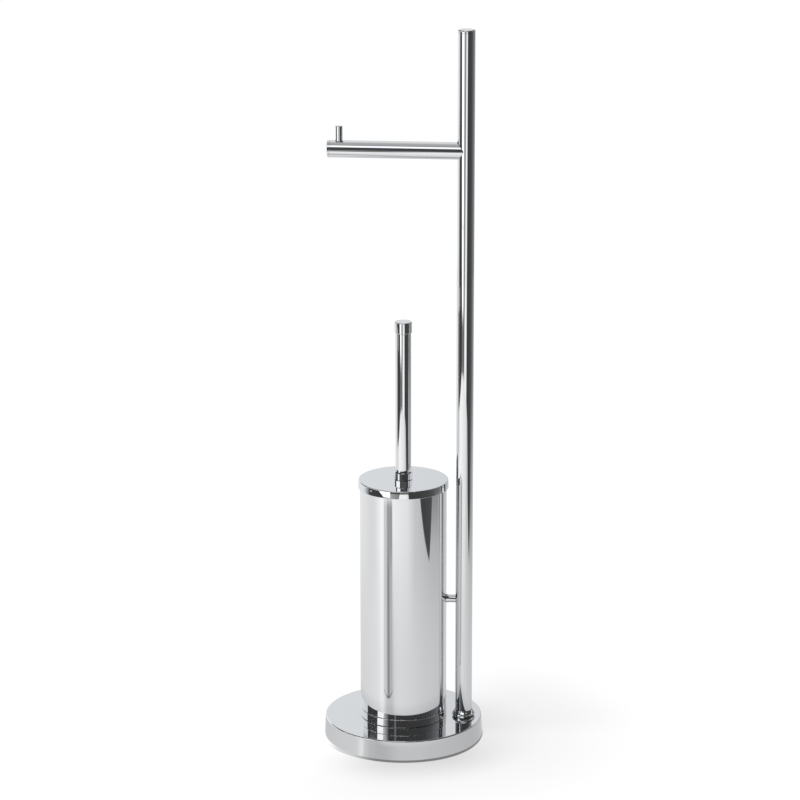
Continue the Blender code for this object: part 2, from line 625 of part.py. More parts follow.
def build_lid(shop):
    """The lid's cap and disc, with the neck and nut that clamp them."""
    hole_radius = NECK_TAIL_RADIUS + FIT_GAP
    skirt_inner = LID_RADIUS - LID_SKIRT_WALL
    cap_outline = [
        *top_edge(LID_RADIUS - LID_SKIRT_TAPER, LID_TOP, LID_EDGE),
        (LID_RADIUS, FLANGE_BOTTOM),
        (skirt_inner, FLANGE_BOTTOM),
        (skirt_inner, LID_CEILING),
        (hole_radius, LID_CEILING),
        (hole_radius, LID_TOP),
    ]
    cap = shop.turned("lid_cap", cap_outline, CHROME, sides=WIDE_SIDES)
    disc_outline = ring(CUP_FLANGE_RADIUS, hole_radius, LID_DISC_BOTTOM, LID_DISC_TOP)
    disc = shop.turned("lid_disc", disc_outline, GREY_PLASTIC, sides=WIDE_SIDES)
    neck_outline = [
        (NECK_RADIUS, NECK_TOP),
        (NECK_RADIUS, NECK_BOTTOM),
        (NECK_TAIL_RADIUS, NECK_BOTTOM),
        (NECK_TAIL_RADIUS, NECK_TAIL_BOTTOM),
        (STEM_BORE_RADIUS, NECK_TAIL_BOTTOM),
        (STEM_BORE_RADIUS, NECK_TOP),
    ]
    neck = shop.turned("lid_neck", neck_outline, CHROME, sides=TUBE_SIDES)
    nut_place = (0.0, 0.0, LID_DISC_BOTTOM - FIT_GAP - LID_NUT_HEIGHT)
    lid_nut = nut(shop, "lid_nut", LID_NUT_RADIUS, LID_NUT_HEIGHT, hole_radius, nut_place)
    return [cap, disc, neck, lid_nut]


def build_handle(shop):
    """The handle's tube, cap, collar and plug, and the stem with its stop."""
    cap_outline = [
        (0.0, HANDLE_TOP),
        *top_edge(HANDLE_CAP_RADIUS, HANDLE_TOP, HANDLE_CAP_EDGE),
        *bottom_edge(HANDLE_CAP_RADIUS, HANDLE_CAP_BOTTOM, HANDLE_CAP_EDGE / 2.0, steps=1),
        (HANDLE_PLUG_RADIUS, HANDLE_CAP_BOTTOM),
        (HANDLE_PLUG_RADIUS, HANDLE_CAP_BOTTOM - HANDLE_CAP_SPIGOT),
        (0.0, HANDLE_CAP_BOTTOM - HANDLE_CAP_SPIGOT),
    ]
    cap = shop.turned("handle_cap", cap_outline, CHROME)
    tube_outline = ring(HANDLE_RADIUS, HANDLE_INNER_RADIUS, HANDLE_BOTTOM, HANDLE_CAP_BOTTOM - FIT_GAP)
    tube = shop.turned("handle_tube", tube_outline, CHROME)
    collar_outline = [
        *top_edge(COLLAR_RADIUS, COLLAR_TOP, COLLAR_EDGE, steps=1),
        *bottom_edge(COLLAR_RADIUS, COLLAR_BOTTOM, COLLAR_EDGE, steps=1),
        (COLLAR_RECESS_RADIUS, COLLAR_BOTTOM),
        (COLLAR_RECESS_RADIUS, COLLAR_RECESS_TOP),
        (STEM_BORE_RADIUS, COLLAR_RECESS_TOP),
        (STEM_BORE_RADIUS, COLLAR_TOP),
    ]
    collar = shop.turned("handle_collar", collar_outline, CHROME)
    plug_top = HANDLE_BOTTOM + HANDLE_PLUG_LENGTH
    plug_outline = ring(HANDLE_PLUG_RADIUS, STEM_BORE_RADIUS, HANDLE_BOTTOM, plug_top)
    plug = shop.turned("handle_plug", plug_outline, STEEL, sides=SMALL_SIDES)
    stem_outline = [
        (0.0, STEM_TOP),
        *top_edge(STEM_RADIUS, STEM_TOP, STEM_EDGE, steps=1),
        *bottom_edge(STEM_RADIUS, STEM_BOTTOM, STEM_EDGE, steps=1),
        (0.0, STEM_BOTTOM),
    ]
    stem = shop.turned("stem_rod", stem_outline, STEEL, sides=SMALL_SIDES)
    stop_top = NECK_TAIL_BOTTOM - FIT_GAP
    stop_outline = ring(STEM_STOP_RADIUS, STEM_BORE_RADIUS, stop_top - STEM_STOP_HEIGHT, stop_top)
    stop = shop.turned("stem_stop", stop_outline, STEEL, sides=SMALL_SIDES)
    return [cap, tube, collar, plug, stem, stop]


def bristle_sleeve():
    """The mesh of the bristle sleeve: a ring whose outer facets each carry one tapered strand.

    A row's strands lean from BRISTLE_LOW_ANGLE at the bottom to BRISTLE_HIGH_ANGLE at the top, so
    neighbours spread apart and none cross.
    """
    row_height = (SLEEVE_TOP - SLEEVE_BOTTOM) / BRISTLE_ROWS
    column_width = 2.0 * SLEEVE_RADIUS * math.sin(math.pi / BRISTLE_COLUMNS)
    sleeve = bmesh.new()
    row_heights = [SLEEVE_TOP - row_height * i for i in range(BRISTLE_ROWS + 1)]
    outer = [sleeve.verts.new((SLEEVE_RADIUS, 0.0, height)) for height in row_heights]
    inner = [sleeve.verts.new((SLEEVE_INNER_RADIUS, 0.0, height)) for height in (SLEEVE_BOTTOM, SLEEVE_TOP)]
    loop = outer + inner
    edges = [sleeve.edges.new((loop[i], loop[(i + 1) % len(loop)])) for i in range(len(loop))]
    bmesh.ops.spin(
        sleeve, geom=loop + edges, cent=(0.0, 0.0, 0.0), axis=(0.0, 0.0, 1.0), angle=2.0 * math.pi,
        steps=BRISTLE_COLUMNS, use_merge=True,
    )
    bmesh.ops.remove_doubles(sleeve, verts=sleeve.verts, dist=MERGE_DISTANCE)
    bmesh.ops.recalc_face_normals(sleeve, faces=sleeve.faces)
    middle_radius = (SLEEVE_RADIUS + SLEEVE_INNER_RADIUS) / 2.0
    facets = [face for face in sleeve.faces if face.calc_center_median().xy.length > middle_radius]
    margin = (min(row_height, column_width) - BRISTLE_WIDTH) / 2.0
    bmesh.ops.inset_individual(sleeve, faces=facets, thickness=margin, use_even_offset=True)
    strands = bmesh.ops.extrude_discrete_faces(sleeve, faces=facets)["faces"]
    for tip in strands:
        root = tip.calc_center_median()
        height_share = (root.z - SLEEVE_BOTTOM) / (SLEEVE_TOP - SLEEVE_BOTTOM)
        lean = math.radians(BRISTLE_LOW_ANGLE + (BRISTLE_HIGH_ANGLE - BRISTLE_LOW_ANGLE) * height_share)
        outward_reach = min(BRISTLE_LENGTH * math.cos(lean), BRUSH_RADIUS - SLEEVE_RADIUS)
        outward = root.copy()
        outward.z = 0.0
        outward.normalize()
        reach = outward * outward_reach
        reach.z = outward_reach * math.tan(lean)
        for corner in tip.verts:
            corner.co = root + (corner.co - root) * BRISTLE_TIP_SHARE + reach
    mesh = bpy.data.meshes.new("bristles")
    sleeve.to_mesh(mesh)
    sleeve.free()
    return mesh


def build_brush_head(shop):
    """The moulded core on the stem and the bristles round it."""
    core_outline = [
        (STEM_BORE_RADIUS, CORE_TOP),
        (CORE_SHOULDER_RADIUS, CORE_TOP),
        (CORE_SHOULDER_RADIUS, CORE_SHOULDER_BOTTOM),
        (CORE_RADIUS, CORE_SHOULDER_BOTTOM),
        *bottom_edge(CORE_RADIUS, CORE_BOTTOM, CORE_EDGE),
        (0.0, CORE_BOTTOM),
    ]
    socket_floor = CORE_BOTTOM + CORE_SOCKET_FLOOR
    core_outline = [(0.0, socket_floor), (STEM_BORE_RADIUS, socket_floor), *core_outline]
    core = shop.turned("brush_core", core_outline, GREY_PLASTIC, sides=SMALL_SIDES)
    bristles = shop.link_part(bpy.data.objects.new("bristles", bristle_sleeve()), BRISTLE_WHITE)
    return [core, bristles]


def main():
    """Builds the stand and hangs each moving group on its joint's axis."""
    clear_scene()
    shop = Workshop()
    build_base(shop)
    canister = build_canister(shop)
    pole = build_pole(shop)
    build_arm(shop, pole)
    build_strut(shop, pole, canister)
    cup = build_cup(shop)
    lid = build_lid(shop)
    brush = build_handle(shop) + build_brush_head(shop)
    shop.group("liner_lift_axis", (0.0, 0.0, FLANGE_BOTTOM), [cup])
    shop.group("brush_lift_axis", (0.0, 0.0, LID_DISC_BOTTOM), lid)
    shop.group("handle_turn_axis", (0.0, 0.0, COLLAR_BOTTOM), brush)


if __name__ == "__main__":
    main()
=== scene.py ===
"""Looks of the toilet butler stand: chromed stand, lidded brush and lift-out cup in a pale studio.

Metres, +Z up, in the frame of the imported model: the origin is on the floor under the canister's axis,
the pole stands towards +X and the photographed side looks towards -Y. Every visible piece is a surface
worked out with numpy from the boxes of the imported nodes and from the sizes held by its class.
"""

import logging
import math
from dataclasses import dataclass
from enum import Enum

import bpy
import numpy as np
from mathutils import Matrix, Vector


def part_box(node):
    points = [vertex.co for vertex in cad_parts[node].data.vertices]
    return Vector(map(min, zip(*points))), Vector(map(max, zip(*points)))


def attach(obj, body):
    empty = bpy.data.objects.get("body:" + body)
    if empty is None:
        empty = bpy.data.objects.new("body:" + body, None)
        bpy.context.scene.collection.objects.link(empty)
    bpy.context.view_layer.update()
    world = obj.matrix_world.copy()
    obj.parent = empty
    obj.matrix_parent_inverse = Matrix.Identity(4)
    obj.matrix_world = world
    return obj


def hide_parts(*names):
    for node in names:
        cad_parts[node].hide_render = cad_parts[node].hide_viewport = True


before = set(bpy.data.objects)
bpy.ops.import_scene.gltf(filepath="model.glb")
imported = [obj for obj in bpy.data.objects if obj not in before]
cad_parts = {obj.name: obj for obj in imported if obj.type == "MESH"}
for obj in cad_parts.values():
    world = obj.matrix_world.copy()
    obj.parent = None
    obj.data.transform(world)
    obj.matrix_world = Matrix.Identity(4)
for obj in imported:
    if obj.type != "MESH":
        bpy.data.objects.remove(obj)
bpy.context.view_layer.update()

LOG = logging.getLogger("toilet_butler_stand")

# Facets round the surfaces and steps in their rounded edges
WIDE_COLUMNS = 288
TUBE_COLUMNS = 160
SMALL_COLUMNS = 64
EDGE_STEPS = 8

# A rounding that stands for an edge left sharp by the tool, and where the middle of such a quarter
# round lies: the share of the radius kept and the share cut off
CRISP = 0.00008
ROUND_KEPT = 0.7
ROUND_CUT = 0.3

# The most of an edge that a rounding takes, and how far an end face's outer ring lies from its middle
MOST_OF_EDGE = 0.499
END_RING = 0.98

# A turn that counts as straight and a width that counts as a point
STRAIGHT = 1e-6
POINT = 1e-9

# Grid of a studio screen and the highest level that its ramp can hold
SCREEN_COLUMNS = 49
SCREEN_ROWS = 13
HIGHEST_LEVEL = 2.0


class Body(Enum):
    """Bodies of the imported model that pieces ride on."""

    STAND = "stand"
    LINER = "liner"
    LID = "lid"
    BRUSH = "brush"


class Slot(Enum):
    """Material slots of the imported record."""

    CHROME = "chrome"
    FASTENER = "fastener_steel"
    STEM = "stem_steel"
    IRON = "cast_iron"
    PAD = "soft_pad"
    CUP = "cup_plastic"
    GREY = "grey_plastic"
    BRISTLE = "bristle"


class Axis(Enum):
    """The ways in which a turned piece's own axis can point, each as its three local directions."""

    UP = ((1.0, 0.0, 0.0), (0.0, 1.0, 0.0), (0.0, 0.0, 1.0))
    ALONG_ARM = ((0.0, 0.0, 1.0), (0.0, 1.0, 0.0), (-1.0, 0.0, 0.0))


# Shader maths


class Value:
    """A node's output socket, with the arithmetic of plain numbers."""

    def __init__(self, graph: "Graph", socket: bpy.types.NodeSocket) -> None:
        """Wraps a socket.

        Args:
            graph: the graph that the socket belongs to.
            socket: an output socket.
        """
        self.graph = graph
        self.socket = socket

    def _math(self, operation: str, first: "Value | float", second: "Value | float" = 0.0) -> "Value":
        """Adds a Math node.

        Args:
            operation: the Math node's operation.
            first: its first value.
            second: its second value.

        Returns:
            The node's result.
        """
        return self.graph.node("ShaderNodeMath", {"operation": operation}, {0: first, 1: second})

    def __add__(self, other: "Value | float") -> "Value":
        """Adds a value or number."""
        return self._math("ADD", self, other)

    def __radd__(self, other: float) -> "Value":
        """Adds to a number."""
        return self._math("ADD", other, self)

    def __sub__(self, other: "Value | float") -> "Value":
        """Takes a value or number away."""
        return self._math("SUBTRACT", self, other)

    def __rsub__(self, other: float) -> "Value":
        """Is taken away from a number."""
        return self._math("SUBTRACT", other, self)

    def __mul__(self, other: "Value | float") -> "Value":
        """Multiplies by a value or number."""
        return self._math("MULTIPLY", self, other)

    def __rmul__(self, other: float) -> "Value":
        """Multiplies a number."""
        return self._math("MULTIPLY", other, self)

    def __truediv__(self, other: "Value | float") -> "Value":
        """Divides by a value or number."""
        return self._math("DIVIDE", self, other)

    def power(self, exponent: float) -> "Value":
        """Raises to a power."""
        return self._math("POWER", self, exponent)

    def most(self, other: "Value | float") -> "Value":
        """The larger of this and another value."""
        return self._math("MAXIMUM", self, other)

    def rise(self, start: float, end: float) -> "Value":
        """A smooth step from 0 to 1.

        Args:
            start: the value below which the step is 0.
            end: the value above which the step is 1; it may be less than start.

        Returns:
            The step.
        """
        settings = {"interpolation_type": "SMOOTHSTEP"}
        if start <= end:
            values = {0: self, 1: start, 2: end, 3: 0.0, 4: 1.0}
        else:
            values = {0: self, 1: end, 2: start, 3: 1.0, 4: 0.0}
        return self.graph.node("ShaderNodeMapRange", settings, values)


@dataclass(frozen=True)
class Step:
    """A smooth step: 0 up to its start, 1 from its end, which may lie before the start."""

    start: float
    end: float

    def of(self, value: Value) -> Value:
        """The step's height at a value."""
        return value.rise(self.start, self.end)


# Pairs of a place and the level there, in rising order of the places
Levels = tuple[tuple[float, float], ...]


class Graph:
    """The node tree of a material or of the world."""

    def __init__(self, tree: bpy.types.NodeTree) -> None:
        """Empties a node tree.

        Args:
            tree: the tree to build in.
        """
        self.tree = tree
        tree.nodes.clear()

    def node(self, kind: str, settings: dict | None = None, values: dict | None = None,
             output: int | str = 0) -> Value:
        """Adds a node.

        Args:
            kind: the node's type.
            settings: its properties, set first; stops is a ramp's list of (place, level).
            values: numbers, colours or Values for its input sockets, by index or name.
            output: the output to return.

        Returns:
            The chosen output.
        """
        made = self.tree.nodes.new(kind)
        for name, setting in (settings or {}).items():
            if name == "stops":
                self._set_stops(made.color_ramp, setting)
            else:
                setattr(made, name, setting)
        for name, value in (values or {}).items():
            if isinstance(value, Value):
                self.tree.links.new(value.socket, made.inputs[name])
            else:
                made.inputs[name].default_value = value
        socket = made.outputs[output] if len(made.outputs) else None
        return Value(self, socket)

    @staticmethod
    def _set_stops(ramp: bpy.types.ColorRamp, stops: list[tuple[float, float]]) -> None:
        """Sets a ramp's stops.

        Args:
            ramp: the ramp.
            stops: (place, grey level) pairs in rising order; a place outside 0 to 1 moves to the end.
        """
        while len(ramp.elements) < len(stops):
            ramp.elements.new(1.0)
        for element, (place, level) in zip(ramp.elements, stops):
            element.position = place
            element.color = (level, level, level, 1.0)

    def object_place(self) -> Value:
        """The surface point in the piece's own coordinates."""
        return self.node("ShaderNodeTexCoord", output="Object")

    def coordinate(self, place: Value, axis: str) -> Value:
        """One coordinate, X, Y or Z, of a place."""
        return self.node("ShaderNodeSeparateXYZ", {}, {0: place}, output=axis)

    def light_path(self, kind: str) -> Value:
        """1 for rays of a kind and 0 for all others."""
        return self.node("ShaderNodeLightPath", output=kind)

    def ramp(self, share: Value, stops: list[tuple[float, float]]) -> Value:
        """A level that changes evenly between stops.

        Args:
            share: the place on the ramp, from 0 to 1.
            stops: (place, level) pairs in rising order.

        Returns:
            The level.
        """
        return self.node("ShaderNodeValToRGB", {"stops": stops}, {0: share})

    def round_level(self, azimuth: Value, levels: Levels) -> Value:
        """A level that changes evenly with the azimuth.

        Args:
            azimuth: the azimuth in degrees, from -180 to 180.
            levels: (azimuth, level) pairs in rising order.

        Returns:
            The level.
        """
        stops = [((degrees + 180.0) / 360.0, level) for degrees, level in levels]
        return self.ramp((azimuth + 180.0) / 360.0, stops)

    def glow(self, colour: Value) -> Value:
        """A shader that glows in a colour or grey level."""
        return self.node("ShaderNodeEmission", {}, {"Color": colour, "Strength": 1.0})

    def clear(self) -> Value:
        """A shader that lets everything through."""
        return self.node("ShaderNodeBsdfTransparent")

    def noise(self, place: Value, scale: float, detail: float = 2.0,
              stretch: tuple[float, float, float] = (1.0, 1.0, 1.0)) -> Value:
        """A noise pattern from 0 to 1.

        Args:
            place: the coordinates to read.
            scale: how many features fit in a metre, roughly.
            detail: finer octaves.
            stretch: factors along the three axes.

        Returns:
            The noise value.
        """
        mapped = self.node("ShaderNodeMapping", {}, {"Vector": place, "Scale": stretch})
        return self.node("ShaderNodeTexNoise", {}, {"Vector": mapped, "Scale": scale, "Detail": detail})

    def mix_colours(self, share: Value, first: tuple, second: tuple) -> Value:
        """A colour between two, from the Mix node's colour sockets: inputs 6 and 7, output 2.

        Args:
            share: 0 for the first colour, 1 for the second.
            first: the first colour.
            second: the second colour.

        Returns:
            The mixed colour.
        """
        values = {0: share, 6: (*first, 1.0), 7: (*second, 1.0)}
        return self.node("ShaderNodeMix", {"data_type": "RGBA"}, values, output=2)

    def bump(self, height: Value, distance: float = 1.0) -> Value:
        """A normal tilted by a height pattern.

        Args:
            height: the pattern.
            distance: the height in metres that 1 stands for.

        Returns:
            The normal.
        """
        return self.node("ShaderNodeBump", {}, {"Strength": 1.0, "Distance": distance, "Height": height})

    def surface(self, shader: Value, kind: str = "ShaderNodeOutputMaterial") -> None:
        """Links a shader to the output.

        Args:
            shader: the finished shader.
            kind: the output node's type.
        """
        self.node(kind, {}, {"Surface": shader})


# Finishes


@dataclass(frozen=True)
class Metal:
    """A bare or plated metal: two close tones, a polish that varies, marks left by the tool.

    The roughness grows by the haze from patch to patch. Heights and waviness are metres.
    """

    name: str
    tone: tuple[float, float, float]
    second_tone: tuple[float, float, float]
    roughness: float
    haze: float
    metallic: float = 1.0
    patch_scale: float = 14.0
    patch_step: Step = Step(0.3, 0.7)
    mark_scale: float = 60.0
    mark_detail: float = 4.0
    mark_stretch: tuple[float, float, float] = (1.0, 1.0, 18.0)
    mark_height: float = 0.0000006
    waviness: float = 0.000004

    def material(self) -> bpy.types.Material:
        """Builds the material.

        Returns:
            The material.
        """
        made = bpy.data.materials.new(self.name)
        made.use_nodes = True
        graph = Graph(made.node_tree)
        place = graph.object_place()
        patches = graph.noise(place, self.patch_scale)
        marks = graph.noise(place, self.mark_scale, self.mark_detail, self.mark_stretch)
        colour = graph.mix_colours(self.patch_step.of(patches), self.tone, self.second_tone)
        roughness = patches * self.haze + marks * self.haze + self.roughness
        height = marks * self.mark_height + patches * self.waviness
        shader = graph.node("ShaderNodeBsdfPrincipled", {}, {
            "Base Color": colour,
            "Metallic": self.metallic,
            "Roughness": roughness,
            "Normal": graph.bump(height),
        })
        graph.surface(shader)
        return made


@dataclass(frozen=True)
class Moulding:
    """A plastic, rubber or nylon: a grained satin skin with slight differences of tone."""

    name: str
    tone: tuple[float, float, float]
    second_tone: tuple[float, float, float]
    roughness: float
    grain_scale: float
    grain_height: float
    roughness_range: float = 0.1
    patch_scale: float = 25.0
    patch_detail: float = 3.0
    patch_step: Step = Step(0.25, 0.75)

    def material(self) -> bpy.types.Material:
        """Builds the material.

        Returns:
            The material.
        """
        made = bpy.data.materials.new(self.name)
        made.use_nodes = True
        graph = Graph(made.node_tree)
        place = graph.object_place()
        patches = graph.noise(place, self.patch_scale, self.patch_detail)
        grain = graph.noise(place, self.grain_scale)
        shader = graph.node("ShaderNodeBsdfPrincipled", {}, {
            "Base Color": graph.mix_colours(self.patch_step.of(patches), self.tone, self.second_tone),
            "Roughness": grain * self.roughness_range + self.roughness,
            "Normal": graph.bump(grain, self.grain_height),
        })
        graph.surface(shader)
        return made


FINISHES = {
    Slot.CHROME: Metal(
        "chrome_plate", (0.742, 0.752, 0.765), (0.757, 0.765, 0.775), 0.026, 0.012,
        mark_scale=30.0, mark_stretch=(1.0, 1.0, 1.0), mark_height=0.0000006, waviness=0.0000015,
    ),
    Slot.FASTENER: Metal(
        "zinc_plated_steel", (0.56, 0.57, 0.58), (0.66, 0.65, 0.62), 0.24, 0.10, mark_height=0.00002,
    ),
    Slot.STEM: Metal(
        "drawn_stainless_steel", (0.60, 0.60, 0.59), (0.68, 0.68, 0.67), 0.16, 0.08,
        mark_scale=400.0, mark_stretch=(1.0, 1.0, 0.04), mark_height=0.00001,
    ),
    Slot.IRON: Metal(
        "cast_iron", (0.07, 0.07, 0.07), (0.12, 0.11, 0.10), 0.45, 0.2, metallic=0.6,
        mark_scale=500.0, mark_stretch=(1.0, 1.0, 1.0), mark_height=0.0003,
    ),
    Slot.PAD: Moulding("foam_rubber", (0.04, 0.04, 0.04), (0.06, 0.06, 0.065), 0.75, 900.0, 0.0002),
    Slot.CUP: Moulding("white_polypropylene", (0.83, 0.84, 0.85), (0.87, 0.875, 0.88), 0.3, 700.0, 0.00001),
    Slot.GREY: Moulding("grey_polypropylene", (0.42, 0.43, 0.44), (0.47, 0.48, 0.49), 0.36, 700.0, 0.00002),
    Slot.BRISTLE: Moulding("white_nylon", (0.86, 0.87, 0.88), (0.93, 0.935, 0.94), 0.35, 1500.0, 0.00001),
}


# Surfaces


@dataclass(frozen=True)
class Corner:
    """A corner of a turned outline: its radius, its height and how far it is rounded."""

    radius: float
    height: float
    rounding: float = CRISP


@dataclass
class Outline:
    """An outline to be turned, as arrays of points and of outward directions.

    The corners run down the outer side. An outline that starts and ends on the axis makes a solid;
    any other is closed into a ring.
    """

    points: np.ndarray
    outwards: np.ndarray
    closed: bool

    @classmethod
    def through(cls, corners: list[Corner]) -> "Outline":
        """Rounds the corners.

        Each corner becomes an arc whose tangent swings evenly from the edge before it to the edge
        after it: direction(s) = slerp(before, after, s), and the point is the arc's centre plus the
        rounding times the direction turned outwards.

        Args:
            corners: the corners in order.

        Returns:
            The outline.
        """
        closed = corners[0].radius > 0.0
        spots = np.array([(corner.radius, corner.height) for corner in corners])
        points, outwards = [], []
        for index, corner in enumerate(corners):
            if not closed and index in (0, len(corners) - 1):
                along = spots[1] - spots[0] if index == 0 else spots[-1] - spots[-2]
                along = along / np.linalg.norm(along)
                points.append(spots[index:index + 1])
                outwards.append(np.array([(-along[1], along[0])]))
                continue
            before = spots[index] - spots[index - 1]
            after = spots[(index + 1) % len(spots)] - spots[index]
            room = min(np.linalg.norm(before), np.linalg.norm(after))
            before = before / np.linalg.norm(before)
            after = after / np.linalg.norm(after)
            turn = math.acos(float(np.clip(before @ after, -1.0, 1.0)))
            bend = before[0] * after[1] - before[1] * after[0]
            if turn < STRAIGHT:
                continue
            size = min(corner.rounding, MOST_OF_EDGE * room / math.tan(turn / 2.0))
            share = np.linspace(0.0, 1.0, EDGE_STEPS + 1)[:, None]
            swing = (np.sin((1.0 - share) * turn) * before + np.sin(share * turn) * after) / math.sin(turn)
            normal = np.stack([-swing[:, 1], swing[:, 0]], axis=1)
            side = -1.0 if bend > 0.0 else 1.0
            start = spots[index] - before * size * math.tan(turn / 2.0)
            centre = start - side * size * normal[0]
            points.append(centre + side * size * normal)
            outwards.append(normal)
        return cls(np.concatenate(points), np.concatenate(outwards), closed)


@dataclass
class Sheet:
    """A surface on a grid: rows along an outline, columns round the axis."""

    points: np.ndarray
    normals: np.ndarray
    closed: bool

    @classmethod
    def turned(cls, outline: Outline, columns: int) -> "Sheet":
        """Turns an outline about the local Z axis.

        point(row, column) = (r cos a, r sin a, h) with a = 2 pi column / columns.

        Args:
            outline: the outline.
            columns: facets round the axis.

        Returns:
            The surface.
        """
        angles = np.arange(columns) * (2.0 * math.pi / columns)
        round_axis = np.stack([np.cos(angles), np.sin(angles)], axis=1)
        points = np.concatenate([
            outline.points[:, None, :1] * round_axis[None],
            np.repeat(outline.points[:, None, 1:], columns, axis=1),
        ], axis=2)
        normals = np.concatenate([
            outline.outwards[:, None, :1] * round_axis[None],
            np.repeat(outline.outwards[:, None, 1:], columns, axis=1),
        ], axis=2)
        return cls(points, normals, outline.closed)

    def placed(self, axis: Axis, origin: tuple[float, float, float]) -> "Sheet":
        """Turns the surface to an axis and moves it.

        Args:
            axis: the directions of the local axes.
            origin: where the local origin goes.

        Returns:
            The moved surface.
        """
        directions = np.array(axis.value)
        return Sheet(self.points @ directions + np.array(origin), self.normals @ directions, self.closed)


def sheet_mesh(name: str, sheet: Sheet) -> bpy.types.Mesh:
    """Makes the mesh of a closed surface.

    Each grid cell is a quad. A row whose points all meet on the axis is one vertex, and the cells
    beside it are triangles.

    Args:
        name: the mesh's name.
        sheet: the surface.

    Returns:
        The mesh, with the surface's own normals.
    """
    rows, columns, _ = sheet.points.shape
    index = np.arange(rows * columns).reshape(rows, columns)
    on_axis = np.ptp(sheet.points, axis=1).max(axis=1) < POINT
    index[on_axis] = index[on_axis][:, :1]
    below = np.roll(index, -1, axis=0)
    if not sheet.closed:
        index, below = index[:-1], below[:-1]
    cells = np.stack([index, below, np.roll(below, -1, axis=1), np.roll(index, -1, axis=1)], axis=2)
    cells = cells.reshape(-1, 4)
    at_top = cells[:, 0] == cells[:, 3]
    at_bottom = cells[:, 1] == cells[:, 2]
    quads = cells[~(at_top | at_bottom)]
    triangles = np.concatenate([cells[at_top][:, :3], cells[at_bottom][:, [0, 1, 3]]])
    used, packed = np.unique(np.concatenate([quads.ravel(), triangles.ravel()]), return_inverse=True)
    packed = packed.ravel()
    quad_list = packed[:quads.size].reshape(-1, 4).tolist()
    triangle_list = packed[quads.size:].reshape(-1, 3).tolist()
    mesh = bpy.data.meshes.new(name)
    mesh.from_pydata(sheet.points.reshape(-1, 3)[used].tolist(), [], quad_list + triangle_list)
    mesh.shade_smooth()
    mesh.normals_split_custom_set_from_vertices(sheet.normals.reshape(-1, 3)[used].tolist())
    mesh.update()
    return mesh


class Bench:
    """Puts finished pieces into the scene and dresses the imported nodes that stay."""

    def __init__(self) -> None:
        """Builds the materials, one for each slot."""
        self.materials = {slot: finish.material() for slot, finish in FINISHES.items()}

    def add(self, node: str, mesh: bpy.types.Mesh, body: Body, slot: Slot) -> bpy.types.Object:
        """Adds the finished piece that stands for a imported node.

        Args:
            node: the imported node's name.
            mesh: the piece's mesh, in place.
            body: the body it rides on.
            slot: the slot of its finish.

        Returns:
            The piece.
        """
        piece = bpy.data.objects.new("finished_" + node, mesh)
        bpy.context.scene.collection.objects.link(piece)
        mesh.materials.append(self.materials[slot])
        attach(piece, body.value)
        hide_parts(node)
        LOG.info("%s: %d faces, rides on %s", piece.name, len(mesh.polygons), body.value)
        return piece

    def turned(self, node: str, corners: list[Corner], body: Body, slot: Slot, columns: int,
               origin: tuple[float, float, float] = (0.0, 0.0, 0.0)) -> bpy.types.Object:
        """Adds an upright piece turned from an outline.

        Args:
            node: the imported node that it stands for.
            corners: the outline's corners.
            body: the body it rides on.
            slot: the slot of its finish.
            columns: facets round the axis.
            origin: where its local origin lies.

        Returns:
            The piece.
        """
        sheet = Sheet.turned(Outline.through(corners), columns).placed(Axis.UP, origin)
        return self.add(node, sheet_mesh(node, sheet), body, slot)

    def dress(self, slot: Slot, *nodes: str) -> None:
        """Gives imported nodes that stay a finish.

        Args:
            slot: the slot of the finish.
            nodes: the nodes' names.
        """
        for node in nodes:
            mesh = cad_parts[node].data
            mesh.materials.clear()
            mesh.materials.append(self.materials[slot])
            LOG.info("%s: packed node dressed in %s", node, slot.value)


def span(node: str) -> tuple[float, float, float]:
    """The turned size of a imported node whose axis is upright.

    Args:
        node: the node's name.

    Returns:
        Its radius, its lowest and its highest point.
    """
    low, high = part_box(node)
    return (high.x - low.x) / 2.0, low.z, high.z


# Sub-assemblies


@dataclass
class Base:
    """The pressed cover over the cast weight, on its pad."""

    wall: float = 0.0015
    edge: float = 0.0014
    taper: float = 0.0010
    foot_edge: float = 0.0004

    def build(self, bench: Bench) -> None:
        """Builds the cover and dresses what is under it.

        Args:
            bench: where the pieces go.
        """
        radius, low, high = span("base_cover")
        top_radius = radius - self.taper
        ceiling = high - self.wall
        corners = [
            Corner(0.0, high),
            Corner(top_radius, high, self.edge),
            Corner(radius, low, self.foot_edge),
            Corner(radius - self.wall, low, self.foot_edge),
            Corner(top_radius - self.wall, ceiling, self.edge / 2.0),
            Corner(0.0, ceiling),
        ]
        bench.turned("base_cover", corners, Body.STAND, Slot.CHROME, WIDE_COLUMNS)
        bench.dress(Slot.IRON, "base_weight")
        bench.dress(Slot.PAD, "base_pad")


